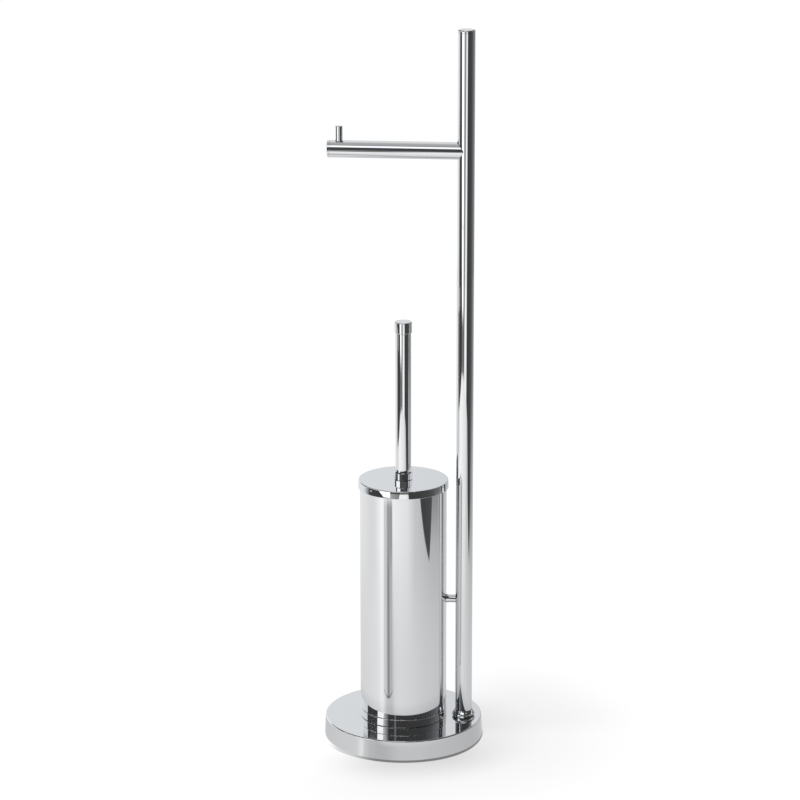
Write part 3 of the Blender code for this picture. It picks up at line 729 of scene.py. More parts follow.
@dataclass
class Canister:
    """The canister's tube on its turned foot."""

    wall: float = 0.0010
    rim_edge: float = 0.0003
    foot_edge: float = 0.0005
    foot_height: float = 0.0091
    foot_floor: float = 0.0040
    foot_wall: float = 0.0030
    bolt_hole: float = 0.0033
    play: float = 0.0003

    def build(self, bench: Bench) -> None:
        """Builds tube and foot, and dresses the fasteners.

        Args:
            bench: where the pieces go.
        """
        radius, low, high = span("canister_tube")
        inner = radius - self.wall
        bench.turned("canister_tube", [
            Corner(radius, high, self.rim_edge),
            Corner(radius, low, self.rim_edge),
            Corner(inner, low, self.rim_edge),
            Corner(inner, high, self.rim_edge),
        ], Body.STAND, Slot.CHROME, WIDE_COLUMNS)
        foot_radius, foot_low, spigot_top = span("canister_foot")
        shoulder = foot_low + self.foot_height
        spigot = inner - self.play
        bench.turned("canister_foot", [
            Corner(spigot, spigot_top),
            Corner(spigot, shoulder),
            Corner(foot_radius, shoulder, self.foot_edge),
            Corner(foot_radius, foot_low, self.foot_edge),
            Corner(self.bolt_hole, foot_low),
            Corner(self.bolt_hole, foot_low + self.foot_floor),
            Corner(spigot - self.foot_wall, foot_low + self.foot_floor),
            Corner(spigot - self.foot_wall, spigot_top),
        ], Body.STAND, Slot.CHROME, WIDE_COLUMNS)
        bench.dress(Slot.FASTENER, "canister_bolt", "canister_washer", "canister_nut")


@dataclass
class Pole:
    """The pole with its cap and the cone collar at its foot. Leans are degrees from upright."""

    wall: float = 0.0012
    cap_edge: float = 0.0013
    cap_thickness: float = 0.0030
    play: float = 0.0003
    collar_face: float = 0.53
    collar_high_lean: float = 42.0
    collar_low_lean: float = 33.0
    collar_crown: float = 0.0150
    collar_belly: float = 0.0022
    collar_tuck: float = 0.0010
    collar_foot_edge: float = 0.0004

    def place(self) -> tuple[float, float, float]:
        """Where the pole's axis meets the floor."""
        low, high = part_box("pole_tube")
        return ((low.x + high.x) / 2.0, 0.0, 0.0)

    def build(self, bench: Bench) -> None:
        """Builds tube, cap and collar, and dresses the plug and bolt.

        Args:
            bench: where the pieces go.
        """
        place = self.place()
        radius, low, high = span("pole_tube")
        inner = radius - self.wall
        bench.turned("pole_tube", [
            Corner(radius, high),
            Corner(radius, low),
            Corner(inner, low),
            Corner(inner, high),
        ], Body.STAND, Slot.CHROME, TUBE_COLUMNS, origin=place)
        _, spigot_low, top = span("pole_cap")
        plug = inner - self.play
        cap_low = top - self.cap_thickness
        bench.turned("pole_cap", [
            Corner(0.0, top),
            Corner(radius, top, self.cap_edge),
            Corner(radius, cap_low),
            Corner(plug, cap_low),
            Corner(plug, spigot_low),
            Corner(0.0, spigot_low),
        ], Body.STAND, Slot.CHROME, TUBE_COLUMNS, origin=place)
        self.build_collar(bench, place, radius + self.play)
        bench.dress(Slot.FASTENER, "pole_bolt", "pole_washer", "pole_plug")

    def build_collar(self, bench: Bench, place: tuple[float, float, float], bore: float) -> None:
        """Builds the collar: a nearly straight cone round the pole, rounded at its edge.

        Args:
            bench: where the piece goes.
            place: the pole's foot.
            bore: the collar's inner radius.
        """
        outer, low, high = span("pole_foot_collar")
        middle = bore + self.collar_face * (outer - bore)
        upper = high - (middle - bore) / math.tan(math.radians(self.collar_high_lean))
        lower = upper - (outer - middle) / math.tan(math.radians(self.collar_low_lean))
        bench.turned("pole_foot_collar", [
            Corner(bore, high),
            Corner(middle, upper, self.collar_crown),
            Corner(outer, lower, self.collar_belly),
            Corner(outer - self.collar_tuck, low, self.collar_foot_edge),
            Corner(bore, low),
        ], Body.STAND, Slot.CHROME, TUBE_COLUMNS, origin=place)


def saddle(across: np.ndarray, radius: float) -> np.ndarray:
    """How far a round wall stands out at a distance across it: sqrt(radius^2 - across^2).

    Args:
        across: distances from the wall's middle plane.
        radius: the wall's radius.

    Returns:
        The distances from the wall's axis.
    """
    return np.sqrt(np.maximum(radius**2 - across**2, 0.0))


@dataclass
class Arm:
    """The roll arm with its end cap and its pin."""

    wall: float = 0.0012
    play: float = 0.0003
    cap_thickness: float = 0.0025
    cap_edge: float = 0.0006
    cap_doming: float = 11.0
    cap_spigot: float = 0.0040
    pin_edge: float = 0.0005

    def build(self, bench: Bench) -> None:
        """Builds arm, cap and pin, and dresses what holds them.

        The cap's flat face is slightly domed in its shading: its outward direction is the axis in the
        middle and leans outwards by the doming, in degrees, at the rim.

        Args:
            bench: where the pieces go.
        """
        pole_x = Pole().place()[0]
        low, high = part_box("arm_tube")
        radius = (high.z - low.z) / 2.0
        height = (high.z + low.z) / 2.0
        cap_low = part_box("arm_end_cap")[0]
        origin = (pole_x, 0.0, height)
        reach = pole_x - cap_low.x
        tube_end = pole_x - low.x
        self.build_tube(bench, origin, radius, tube_end)
        plug = radius - self.wall - self.play
        cap = Outline.through([
            Corner(0.0, reach),
            Corner(radius, reach, self.cap_edge),
            Corner(radius, reach - self.cap_thickness),
            Corner(plug, reach - self.cap_thickness),
            Corner(plug, reach - self.cap_thickness - self.cap_spigot),
            Corner(0.0, reach - self.cap_thickness - self.cap_spigot),
        ])
        doming = math.radians(self.cap_doming)
        cap.outwards[1] = (math.sin(doming), math.cos(doming))
        sheet = Sheet.turned(cap, TUBE_COLUMNS).placed(Axis.ALONG_ARM, origin)
        bench.add("arm_end_cap", sheet_mesh("arm_end_cap", sheet), Body.STAND, Slot.CHROME)
        self.build_pin(bench, height, radius)
        bench.dress(Slot.FASTENER, "arm_plug", "arm_stud", "arm_anchor", "arm_pin_nut")

    def build_tube(self, bench: Bench, origin: tuple[float, float, float], radius: float,
                   end: float) -> None:
        """Builds the tube, whose inner end is cut to the pole.

        Each row is a circle of its radius; the rows at the pole lie at the pole's saddle,
        sqrt(pole^2 - y^2), and the rows at the end lie flat.

        Args:
            bench: where the piece goes.
            origin: where the arm's axis crosses the pole's.
            radius: the tube's radius.
            end: the tube's length from the pole's axis.
        """
        columns = TUBE_COLUMNS
        angles = np.arange(columns) * (2.0 * math.pi / columns)
        inner = radius - self.wall
        pole_wall = radius + self.play
        outer_saddle = saddle(radius * np.sin(angles), pole_wall)
        inner_saddle = saddle(inner * np.sin(angles), pole_wall)
        flat = np.full(columns, end)
        cut = ROUND_CUT * CRISP
        rows = [
            (radius - CRISP, flat, 0.0, 1.0),
            (radius - cut, flat - cut, ROUND_KEPT, ROUND_KEPT),
            (radius, flat - CRISP, 1.0, 0.0),
            (radius, outer_saddle + CRISP, 1.0, 0.0),
            (radius - cut, outer_saddle + cut, ROUND_KEPT, -ROUND_KEPT),
            (radius - CRISP, outer_saddle, 0.0, -1.0),
            (inner + CRISP, inner_saddle, 0.0, -1.0),
            (inner, inner_saddle + CRISP, -1.0, 0.0),
            (inner, flat - CRISP, -1.0, 0.0),
            (inner + CRISP, flat, 0.0, 1.0),
        ]
        round_axis = np.stack([np.cos(angles), np.sin(angles)], axis=1)
        points = np.stack([
            np.concatenate([row_radius * round_axis, height[:, None]], axis=1)
            for row_radius, height, _, _ in rows
        ])
        normals = np.stack([
            np.concatenate([side * round_axis, np.full((columns, 1), up)], axis=1)
            for _, _, side, up in rows
        ])
        normals /= np.linalg.norm(normals, axis=2, keepdims=True)
        sheet = Sheet(points, normals, True).placed(Axis.ALONG_ARM, origin)
        bench.add("arm_tube", sheet_mesh("arm_tube", sheet), Body.STAND, Slot.CHROME)

    def build_pin(self, bench: Bench, height: float, radius: float) -> None:
        """Builds the pin, whose foot is cut to the arm: z = height + sqrt((radius + play)^2 - y^2).

        Args:
            bench: where the piece goes.
            height: the arm's height.
            radius: the arm's radius.
        """
        low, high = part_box("arm_pin")
        pin_radius = (high.x - low.x) / 2.0
        place = ((high.x + low.x) / 2.0, 0.0, 0.0)
        top = Outline.through([
            Corner(0.0, high.z),
            Corner(pin_radius, high.z, self.pin_edge),
            Corner(pin_radius, height),
            Corner(0.0, height),
        ])
        keep = top.points[:, 1] > height + radius
        sheet = Sheet.turned(Outline(top.points[keep], top.outwards[keep], False), SMALL_COLUMNS)
        angles = np.arange(SMALL_COLUMNS) * (2.0 * math.pi / SMALL_COLUMNS)
        foot = height + saddle(pin_radius * np.sin(angles), radius + self.play)
        foot_points = np.stack([pin_radius * np.cos(angles), pin_radius * np.sin(angles), foot], axis=1)
        foot_normals = np.stack([np.cos(angles), np.sin(angles), np.zeros(SMALL_COLUMNS)], axis=1)
        middle = np.tile(np.array([0.0, 0.0, height + radius + self.play]), (SMALL_COLUMNS, 1))
        down = np.tile(np.array([0.0, 0.0, -1.0]), (SMALL_COLUMNS, 1))
        under = foot_points * np.array([END_RING, END_RING, 1.0])
        points = np.concatenate([sheet.points, foot_points[None], under[None], middle[None]])
        normals = np.concatenate([sheet.normals, foot_normals[None], down[None], down[None]])
        placed = Sheet(points, normals, False).placed(Axis.UP, place)
        bench.add("arm_pin", sheet_mesh("arm_pin", placed), Body.STAND, Slot.CHROME)


@dataclass
class Strut:
    """The spacer between canister and pole, flared towards the canister."""

    radius: float = 0.0045
    flare: float = 0.0006
    flare_length: float = 0.0048
    play: float = 0.0003
    rows: int = 24

    def build(self, bench: Bench) -> None:
        """Builds the spacer: a round bar between two saddles.

        Along it, with s from 0 at the pole to 1 at the canister, x runs between the two walls and
        the radius is the bar's plus the flare times the square of the nearness to the canister.

        Args:
            bench: where the pieces go.
        """
        pole_x = Pole().place()[0]
        pole_radius = span("pole_tube")[0] + self.play
        wall_radius = span("canister_tube")[0] + self.play
        low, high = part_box("strut")
        height = (low.z + high.z) / 2.0
        angles = np.arange(SMALL_COLUMNS) * (2.0 * math.pi / SMALL_COLUMNS)
        share = np.linspace(0.0, 1.0, self.rows)[:, None]
        clear = pole_x - pole_radius - wall_radius
        nearness = np.clip(1.0 - (1.0 - share) * clear / self.flare_length, 0.0, 1.0)
        radius = self.radius + self.flare * nearness**2
        across = radius * np.sin(angles)[None]
        from_x = pole_x - saddle(across, pole_radius)
        to_x = saddle(across, wall_radius)
        along = from_x + (to_x - from_x) * share
        body = np.stack([along, across, height + radius * np.cos(angles)[None]], axis=2)
        slope = np.gradient(radius[:, 0], along[:, 0])[:, None]
        ways = np.broadcast_arrays(-slope, np.sin(angles)[None], np.cos(angles)[None])
        normals = np.stack(ways, axis=2)
        normals /= np.linalg.norm(normals, axis=2, keepdims=True)
        first, first_normals = self.end_rows(body[0], height, 1.0)
        last, last_normals = self.end_rows(body[-1], height, -1.0)
        points = np.concatenate([first, body, last[::-1]])
        facing = np.concatenate([first_normals, normals, last_normals])
        sheet = Sheet(points[:, ::-1], facing[:, ::-1], False)
        bench.add("strut", sheet_mesh("strut", sheet), Body.STAND, Slot.CHROME)
        bench.dress(Slot.FASTENER, "strut_screw", "strut_anchor")

    def end_rows(self, edge: np.ndarray, height: float, way: float) -> tuple[np.ndarray, np.ndarray]:
        """The two rows that close an end: its middle and a ring just inside its edge.

        Args:
            edge: the points of the end's edge.
            height: the height of the spacer's axis.
            way: 1 for a face towards +X, -1 for a face towards -X.

        Returns:
            The rows' points and outward directions.
        """
        middle = np.array([edge[:, 0].mean(), 0.0, height])
        ring = middle + END_RING * (edge - middle)
        points = np.stack([np.tile(middle, (SMALL_COLUMNS, 1)), ring])
        return points, np.broadcast_to(np.array([way, 0.0, 0.0]), points.shape)


@dataclass
class Liner:
    """The moulded cup that hangs by its flange in the canister."""

    wall: float = 0.0018
    floor: float = 0.0020
    taper: float = 0.0015
    shoulder_radius: float = 0.0445
    flange_height: float = 0.0039
    floor_rounding: float = 0.0030
    flange_edge: float = 0.0006

    def build(self, bench: Bench) -> None:
        """Builds the cup.

        Args:
            bench: where the piece goes.
        """
        flange, low, high = span("liner_cup")
        foot = self.shoulder_radius - self.taper
        bench.turned("liner_cup", [
            Corner(0.0, low + self.floor),
            Corner(foot - self.wall, low + self.floor, self.floor_rounding - self.wall / 2.0),
            Corner(self.shoulder_radius - self.wall, high, self.flange_edge),
            Corner(flange, high, self.flange_edge),
            Corner(flange, high - self.flange_height, self.flange_edge),
            Corner(self.shoulder_radius, high - self.flange_height, self.flange_edge),
            Corner(foot, low, self.floor_rounding),
            Corner(0.0, low),
        ], Body.LINER, Slot.CUP, WIDE_COLUMNS)


@dataclass
class Lid:
    """The lid's chromed cap over its disc, with the turned neck. Leans and swirl are degrees."""

    wall: float = 0.0012
    skirt_wall: float = 0.0015
    edge: float = 0.0010
    skirt_edge: float = 0.0003
    hole: float = 0.0058
    skirt_taper: float = 0.0005
    lean_low: float = 4.0
    lean_high: float = 10.0
    skirt_steps: int = 20
    swirl: float = 5.0
    swirl_middle: float = 0.6
    swirl_tilt: float = 0.5
    disc_edge: float = 0.0004
    play: float = 0.0003
    neck_edge: float = 0.0002
    neck_radius: float = 0.0078
    neck_tail: float = 0.0055
    stem_hole: float = 0.0043

    def build(self, bench: Bench) -> None:
        """Builds cap, disc and neck, and dresses the nut.

        Args:
            bench: where the pieces go.
        """
        self.build_cap(bench)
        disc_radius, disc_low, disc_high = span("lid_disc")
        bench.turned("lid_disc", [
            Corner(disc_radius, disc_high, self.disc_edge),
            Corner(disc_radius, disc_low, self.disc_edge),
            Corner(self.hole, disc_low),
            Corner(self.hole, disc_high),
        ], Body.LID, Slot.GREY, WIDE_COLUMNS)
        _, tail_low, neck_high = span("lid_neck")
        neck_low = span("lid_cap")[2] + self.play
        bench.turned("lid_neck", [
            Corner(self.neck_radius, neck_high, self.neck_edge),
            Corner(self.neck_radius, neck_low, self.neck_edge),
            Corner(self.neck_tail, neck_low),
            Corner(self.neck_tail, tail_low),
            Corner(self.stem_hole, tail_low),
            Corner(self.stem_hole, neck_high),
        ], Body.LID, Slot.CHROME, TUBE_COLUMNS)
        bench.dress(Slot.FASTENER, "lid_nut")

    def build_cap(self, bench: Bench) -> None:
        """Builds the cap, whose skirt is slightly crowned.

        The skirt leans in by an angle that grows with the square of the height from its foot. Its
        radius is the foot's less the running sum of tan(lean), scaled so that the whole comes to the
        taper. The pressed skirt is not quite round, so its shading is turned about the axis by
        swirl (middle - tilt x), with x the outward direction's own first part.

        Args:
            bench: where the piece goes.
        """
        radius, low, high = span("lid_cap")
        ceiling = high - self.wall
        heights = np.linspace(high - self.edge, low + self.skirt_edge, self.skirt_steps)
        share = np.linspace(1.0, 0.0, self.skirt_steps)
        lean = np.radians(self.lean_low + (self.lean_high - self.lean_low) * share**2)
        rise = -np.diff(heights)
        steps = rise * np.tan((lean[1:] + lean[:-1]) / 2.0)
        steps *= self.skirt_taper / steps.sum()
        radii = radius - np.concatenate([np.cumsum(steps[::-1])[::-1], [0.0]])
        top = Outline.through([
            Corner(self.hole, ceiling),
            Corner(self.hole, high),
            Corner(radii[0], high, self.edge),
            Corner(radii[0] + self.edge * math.tan(lean[0]), high - 2.0 * self.edge),
            Corner(radius, low, self.skirt_edge),
            Corner(radius - self.skirt_wall, low, self.skirt_edge),
            Corner(radius - self.skirt_wall, ceiling, self.edge / 2.0),
        ])
        arc = EDGE_STEPS + 1
        before_skirt = slice(0, 3 * arc)
        after_skirt = slice(4 * arc, None)
        skirt = np.stack([radii, heights], axis=1)[1:-1]
        skirt_outwards = np.stack([np.cos(lean), np.sin(lean)], axis=1)[1:-1]
        points = np.concatenate([top.points[before_skirt], skirt, top.points[after_skirt]])
        outwards = np.concatenate([
            top.outwards[before_skirt], skirt_outwards, top.outwards[after_skirt],
        ])
        sheet = Sheet.turned(Outline(points, outwards, True), WIDE_COLUMNS)
        x = sheet.normals[..., 0].copy()
        y = sheet.normals[..., 1].copy()
        turn = math.radians(self.swirl) * (self.swirl_middle - self.swirl_tilt * x)
        sheet.normals[..., 0] = x * np.cos(turn) - y * np.sin(turn)
        sheet.normals[..., 1] = x * np.sin(turn) + y * np.cos(turn)
        bench.add("lid_cap", sheet_mesh("lid_cap", sheet), Body.LID, Slot.CHROME)


@dataclass
class Handle:
    """The brush's handle: collar, tube and cap, with the stem and its stop. Sways are degrees."""

    wall: float = 0.0012
    play: float = 0.0003
    collar_bevel: float = 0.0007
    collar_edge: float = 0.0002
    collar_recess_radius: float = 0.0081
    collar_recess_depth: float = 0.0023
    cap_edge: float = 0.0009
    cap_height: float = 0.0122
    stem_edge: float = 0.0006
    stem_hole: float = 0.0043
    stop_edge: float = 0.0004
    sway_back: float = 0.87
    sway_right: float = 0.88

    def swayed(self, bench: Bench, node: str, corners: list[Corner]) -> None:
        """Adds a chromed piece whose shading leans a little, as the loose handle does in the photograph.

        The piece itself stands upright. Its outward directions turn about the X axis by sway_back and
        about the Y axis by sway_right.

        Args:
            bench: where the piece goes.
            node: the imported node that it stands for.
            corners: the outline's corners.
        """
        back = Matrix.Rotation(-math.radians(self.sway_back), 3, "X")
        right = Matrix.Rotation(math.radians(self.sway_right), 3, "Y")
        sheet = Sheet.turned(Outline.through(corners), TUBE_COLUMNS)
        leaning = Sheet(sheet.points, sheet.normals @ np.array(right @ back).T, sheet.closed)
        bench.add(node, sheet_mesh(node, leaning), Body.BRUSH, Slot.CHROME)

    def build(self, bench: Bench) -> None:
        """Builds the handle's pieces and dresses the plug.

        Args:
            bench: where the pieces go.
        """
        collar, low, high = span("handle_collar")
        self.swayed(bench, "handle_collar", [
            Corner(collar - self.collar_bevel, high, self.collar_edge),
            Corner(collar, high - self.collar_bevel, self.collar_edge),
            Corner(collar, low, self.collar_edge),
            Corner(self.collar_recess_radius, low),
            Corner(self.collar_recess_radius, low + self.collar_recess_depth),
            Corner(self.stem_hole, low + self.collar_recess_depth),
            Corner(self.stem_hole, high),
        ])
        tube, low, high = span("handle_tube")
        self.swayed(bench, "handle_tube", [
            Corner(tube, high),
            Corner(tube, low),
            Corner(tube - self.wall, low),
            Corner(tube - self.wall, high),
        ])
        cap, spigot_low, top = span("handle_cap")
        cap_low = top - self.cap_height
        plug = tube - self.wall - self.play
        self.swayed(bench, "handle_cap", [
            Corner(0.0, top),
            Corner(cap, top, self.cap_edge),
            Corner(cap, cap_low, self.cap_edge / 2.0),
            Corner(plug, cap_low),
            Corner(plug, spigot_low),
            Corner(0.0, spigot_low),
        ])
        stem, low, high = span("stem_rod")
        bench.turned("stem_rod", [
            Corner(0.0, high),
            Corner(stem, high, self.stem_edge),
            Corner(stem, low, self.stem_edge),
            Corner(0.0, low),
        ], Body.BRUSH, Slot.STEM, SMALL_COLUMNS)
        stop, low, high = span("stem_stop")
        bench.turned("stem_stop", [
            Corner(stop, high, self.stop_edge),
            Corner(stop, low, self.stop_edge),
            Corner(self.stem_hole, low),
            Corner(self.stem_hole, high),
        ], Body.BRUSH, Slot.FASTENER, SMALL_COLUMNS)
        bench.dress(Slot.FASTENER, "handle_plug")


@dataclass
class BrushHead:
    """The moulded core and its nylon bristles. Spreads are the strands' random differences."""

    core_radius: float = 0.0080
    shoulder_radius: float = 0.0095
    shoulder_height: float = 0.0060
    shoulder_edge: float = 0.0006
    shoulder_foot_edge: float = 0.0004
    tip_rounding: float = 0.0025
    socket_floor: float = 0.0100
    stem_hole: float = 0.0043
    rows: int = 40
    columns: int = 66
    strand_radius: float = 0.00034
    strand_length: float = 0.0270
    strand_taper: float = 0.45
    strand_root: float = 0.0004
    first_row: float = 0.0042
    last_row: float = 0.0006
    lowest_tip: float = 0.0200
    low_angle: float = -62.0
    high_angle: float = 24.0
    cup_clearance: float = 0.0042
    cup_radius: float = 0.0412
    strand_points: int = 5
    angle_spread: float = 0.02
    lean_spread: float = 0.03
    length_spread: float = 0.012
    drop_spread: float = 0.0008
    swerve_spread: float = 0.03
    seed: int = 7

    def build(self, bench: Bench) -> None:
        """Builds core and bristles.

        Args:
            bench: where the pieces go.
        """
        _, low, high = span("brush_core")
        shoulder_low = high - self.shoulder_height
        bench.turned("brush_core", [
            Corner(0.0, low + self.socket_floor),
            Corner(self.stem_hole, low + self.socket_floor),
            Corner(self.stem_hole, high),
            Corner(self.shoulder_radius, high, self.shoulder_edge),
            Corner(self.shoulder_radius, shoulder_low, self.shoulder_foot_edge),
            Corner(self.core_radius, shoulder_low),
            Corner(self.core_radius, low, self.tip_rounding),
            Corner(0.0, low),
        ], Body.BRUSH, Slot.GREY, SMALL_COLUMNS)
        self.build_bristles(bench)

    def build_bristles(self, bench: Bench) -> None:
        """Builds the bristles: rows of bent, tapered nylon strands.

        A strand starts on the core at its row's height h and column's angle a. At the share s of its
        length it lies at radius r0 + reach s and height h + reach tan(lean) s + sag s^2, where the
        lean runs evenly from the lowest row's angle to the highest row's. Three sides are carried
        along that line, their size shrinking towards the tip.

        Args:
            bench: where the piece goes.
        """
        spread = np.random.default_rng(self.seed)
        _, core_low, core_high = span("brush_core")
        low = core_low + self.first_row
        high = core_high - self.shoulder_height - self.last_row
        row, column = np.meshgrid(np.arange(self.rows), np.arange(self.columns), indexing="ij")
        height_share = ((row + 0.5) / self.rows).ravel()
        angle = ((column + 0.5 * (row % 2)) * (2.0 * math.pi / self.columns)).ravel()
        count = angle.size
        angle = angle + spread.normal(0.0, self.angle_spread, count)
        lean = np.radians(self.low_angle + (self.high_angle - self.low_angle) * height_share)
        lean = lean + spread.normal(0.0, self.lean_spread, count)
        root = self.core_radius - self.strand_root
        length = self.strand_length * (1.0 + spread.normal(0.0, self.length_spread, count))
        reach = np.minimum(length * np.cos(lean), self.cup_radius - self.cup_clearance - root)
        drop = spread.normal(0.0, self.drop_spread, count)
        swerve = spread.normal(0.0, self.swerve_spread, count)
        share = np.linspace(0.0, 1.0, self.strand_points)[None, :]
        radius = root + reach[:, None] * share
        height = (low + (high - low) * height_share)[:, None] + (reach * np.tan(lean))[:, None] * share
        height = np.maximum(height + drop[:, None] * share**2, core_low - self.lowest_tip)
        turned = angle[:, None] + swerve[:, None] * share**2
        line = np.stack([radius * np.cos(turned), radius * np.sin(turned), height], axis=2)
        side = np.stack([-np.sin(turned), np.cos(turned), np.zeros_like(turned)], axis=2)
        ahead = np.stack([np.cos(lean) * np.cos(angle), np.cos(lean) * np.sin(angle), np.sin(lean)], axis=1)
        over = np.cross(ahead[:, None, :], side)
        thickness = self.strand_radius * (1.0 - self.strand_taper * share)[:, :, None]
        corner_angles = np.radians([90.0, 210.0, 330.0])
        corners = np.stack([
            line + thickness * (math.cos(turn) * side + math.sin(turn) * over) for turn in corner_angles
        ], axis=2)
        points = corners.reshape(-1, 3)
        start = (np.arange(count) * self.strand_points * 3)[:, None, None]
        step = (np.arange(self.strand_points - 1) * 3)[None, :, None]
        corner = np.arange(3)[None, None, :]
        here = start + step + corner
        beside = start + step + (corner + 1) % 3
        quads = np.stack([here, beside, beside + 3, here + 3], axis=3).reshape(-1, 4)
        first = start[:, 0, 0]
        last = first + (self.strand_points - 1) * 3
        roots = np.stack([first + 2, first + 1, first], axis=1)
        tips = np.stack([last, last + 1, last + 2], axis=1)
        mesh = bpy.data.meshes.new("bristles")
        mesh.from_pydata(points.tolist(), [], quads.tolist() + roots.tolist() + tips.tolist())
        mesh.shade_smooth()
        bench.add("bristles", mesh, Body.BRUSH, Slot.BRISTLE)


# Studio


@dataclass(frozen=True)
class Screen:
    """A curved screen round the stand that only mirrors see.

    Azimuths are degrees round the stand from the camera's direction, positive to the right. The
    screen's foot and top each span two azimuths. The stops give its level along its width, as
    (azimuth at the foot, level) pairs. Its edges fade over shares of its width and height.
    """

    name: str
    distance: float
    low: float
    high: float
    foot: tuple[float, float]
    top: tuple[float, float]
    stops: Levels
    fade: float = 0.03
    foot_fade: float = 0.02
    top_fade: float = 0.02
    tint: tuple[float, float, float] = (1.0, 1.0, 1.0)


def even(level: float) -> Levels:
    """The stops of a screen of one level."""
    return ((-180.0, level), (360.0, level))


SCREENS = (
    # The wall behind the stand, its upper part and the panel to the right
    Screen("back_wall", 2.30, -1.10, 1.45, (76.0, 276.0), (76.0, 276.0), (
        (76.0, 0.09), (90.0, 0.14), (100.0, 0.185), (110.0, 0.23), (120.0, 0.275), (130.0, 0.335),
        (140.0, 0.42), (150.0, 0.51), (165.0, 0.67), (180.0, 0.85), (195.0, 0.98), (210.0, 1.10),
        (230.0, 1.06), (240.0, 1.04), (250.0, 0.93), (258.0, 0.80), (264.0, 0.56), (270.0, 0.30),
        (275.0, 0.13),
    ), fade=0.01, top_fade=0.09, tint=(0.98, 1.0, 1.02)),
    Screen("back_top", 2.29, 1.30, 5.80, (152.0, 208.0), (152.0, 208.0), even(0.90),
           fade=0.25, foot_fade=0.03, top_fade=0.10),
    Screen("right_panel", 2.20, 0.94, 1.16, (62.0, 152.0), (62.0, 152.0), (
        (62.0, 0.40), (76.0, 0.85), (95.0, 0.95), (152.0, 0.95),
    ), fade=0.05, foot_fade=0.03, top_fade=0.2, tint=(0.97, 1.0, 1.04)),

    # The dark curtain at the front and two small lights before it
    Screen("curtain", 5.60, -5.6, 3.2, (-100.0, 92.0), (-100.0, 92.0), (
        (-100.0, 0.07), (-60.0, 0.055), (40.0, 0.060), (60.0, 0.070), (76.0, 0.085), (92.0, 0.13),
    ), fade=0.01),
    Screen("lit_patch", 1.56, 0.095, 0.135, (-82.0, -76.0), (-82.0, -76.0), even(1.30),
           fade=0.2, foot_fade=0.1),
    Screen("small_lamp", 1.75, 1.95, 2.30, (33.0, 44.0), (33.0, 44.0), even(1.90),
           fade=0.2, foot_fade=0.1),

    # The tall bright strip at the front left, from its foot to its crown, with its side
    Screen("strip_foot", 2.20, -0.090, 0.100, (-43.0, -25.5), (-51.5, -25.0), even(1.55),
           fade=0.06, foot_fade=0.25),
    Screen("strip", 2.20, 0.097, 0.480, (-51.0, -25.0), (-62.0, -25.5), even(1.55), fade=0.08),
    Screen("strip_head", 2.18, 0.470, 0.925, (-64.0, -30.0), (-76.0, -58.0), even(1.50), fade=0.08),
    Screen("strip_side", 2.21, 0.780, 0.925, (-60.0, -40.0), (-60.0, -40.0), (
        (-60.0, 0.90), (-52.0, 0.62), (-41.0, 0.12),
    )),
    Screen("thin_stripe", 2.21, 0.780, 0.925, (-24.5, -19.5), (-24.5, -19.5), even(0.24), fade=0.2),
    Screen("front_haze", 2.21, 0.950, 1.100, (-28.0, 40.0), (-28.0, 40.0), even(0.11), fade=0.1),
    Screen("strip_crown", 2.18, 0.915, 1.500, (-103.0, -44.0), (-104.0, -44.0), even(1.50), fade=0.04),
    Screen("gap_head", 2.20, 0.60, 0.925, (-113.0, -68.0), (-113.0, -73.0), even(0.06)),
    Screen("gap_crown", 2.20, 0.915, 1.60, (-140.0, -98.0), (-140.0, -98.0), even(0.06)),

    # The room's floor beyond the table, with its grey and dark stretches
    Screen("far_grey", 5.00, -0.76, 0.12, (-27.0, -6.0), (-27.0, -3.0), (
        (-27.0, 0.50), (-19.0, 0.40), (-12.0, 0.32), (-6.0, 0.30),
    ), fade=0.10),
    Screen("far_floor_near", 5.20, -3.2, -0.66, (-16.0, 19.0), (-11.0, 19.0), (
        (-16.0, 1.20), (2.0, 1.18), (10.0, 1.06), (19.0, 0.94),
    ), fade=0.06),
    Screen("far_floor", 5.20, -0.70, 0.10, (-7.0, 19.5), (-4.0, 18.0), (
        (-7.0, 1.15), (4.0, 1.12), (10.0, 1.12), (19.5, 0.9),
    ), fade=0.10, top_fade=0.10),
    Screen("far_shade", 5.30, -2.6, -0.45, (-52.0, -12.0), (-46.0, -10.0), even(0.20),
           fade=0.10, foot_fade=0.06),

    # The soft lamp high over the camera
    Screen("top_softbox", 1.80, 1.68, 3.40, (-45.0, 8.0), (-45.0, 8.0), even(1.38),
           fade=0.10, foot_fade=0.10, top_fade=0.15, tint=(0.97, 1.0, 1.04)),
)


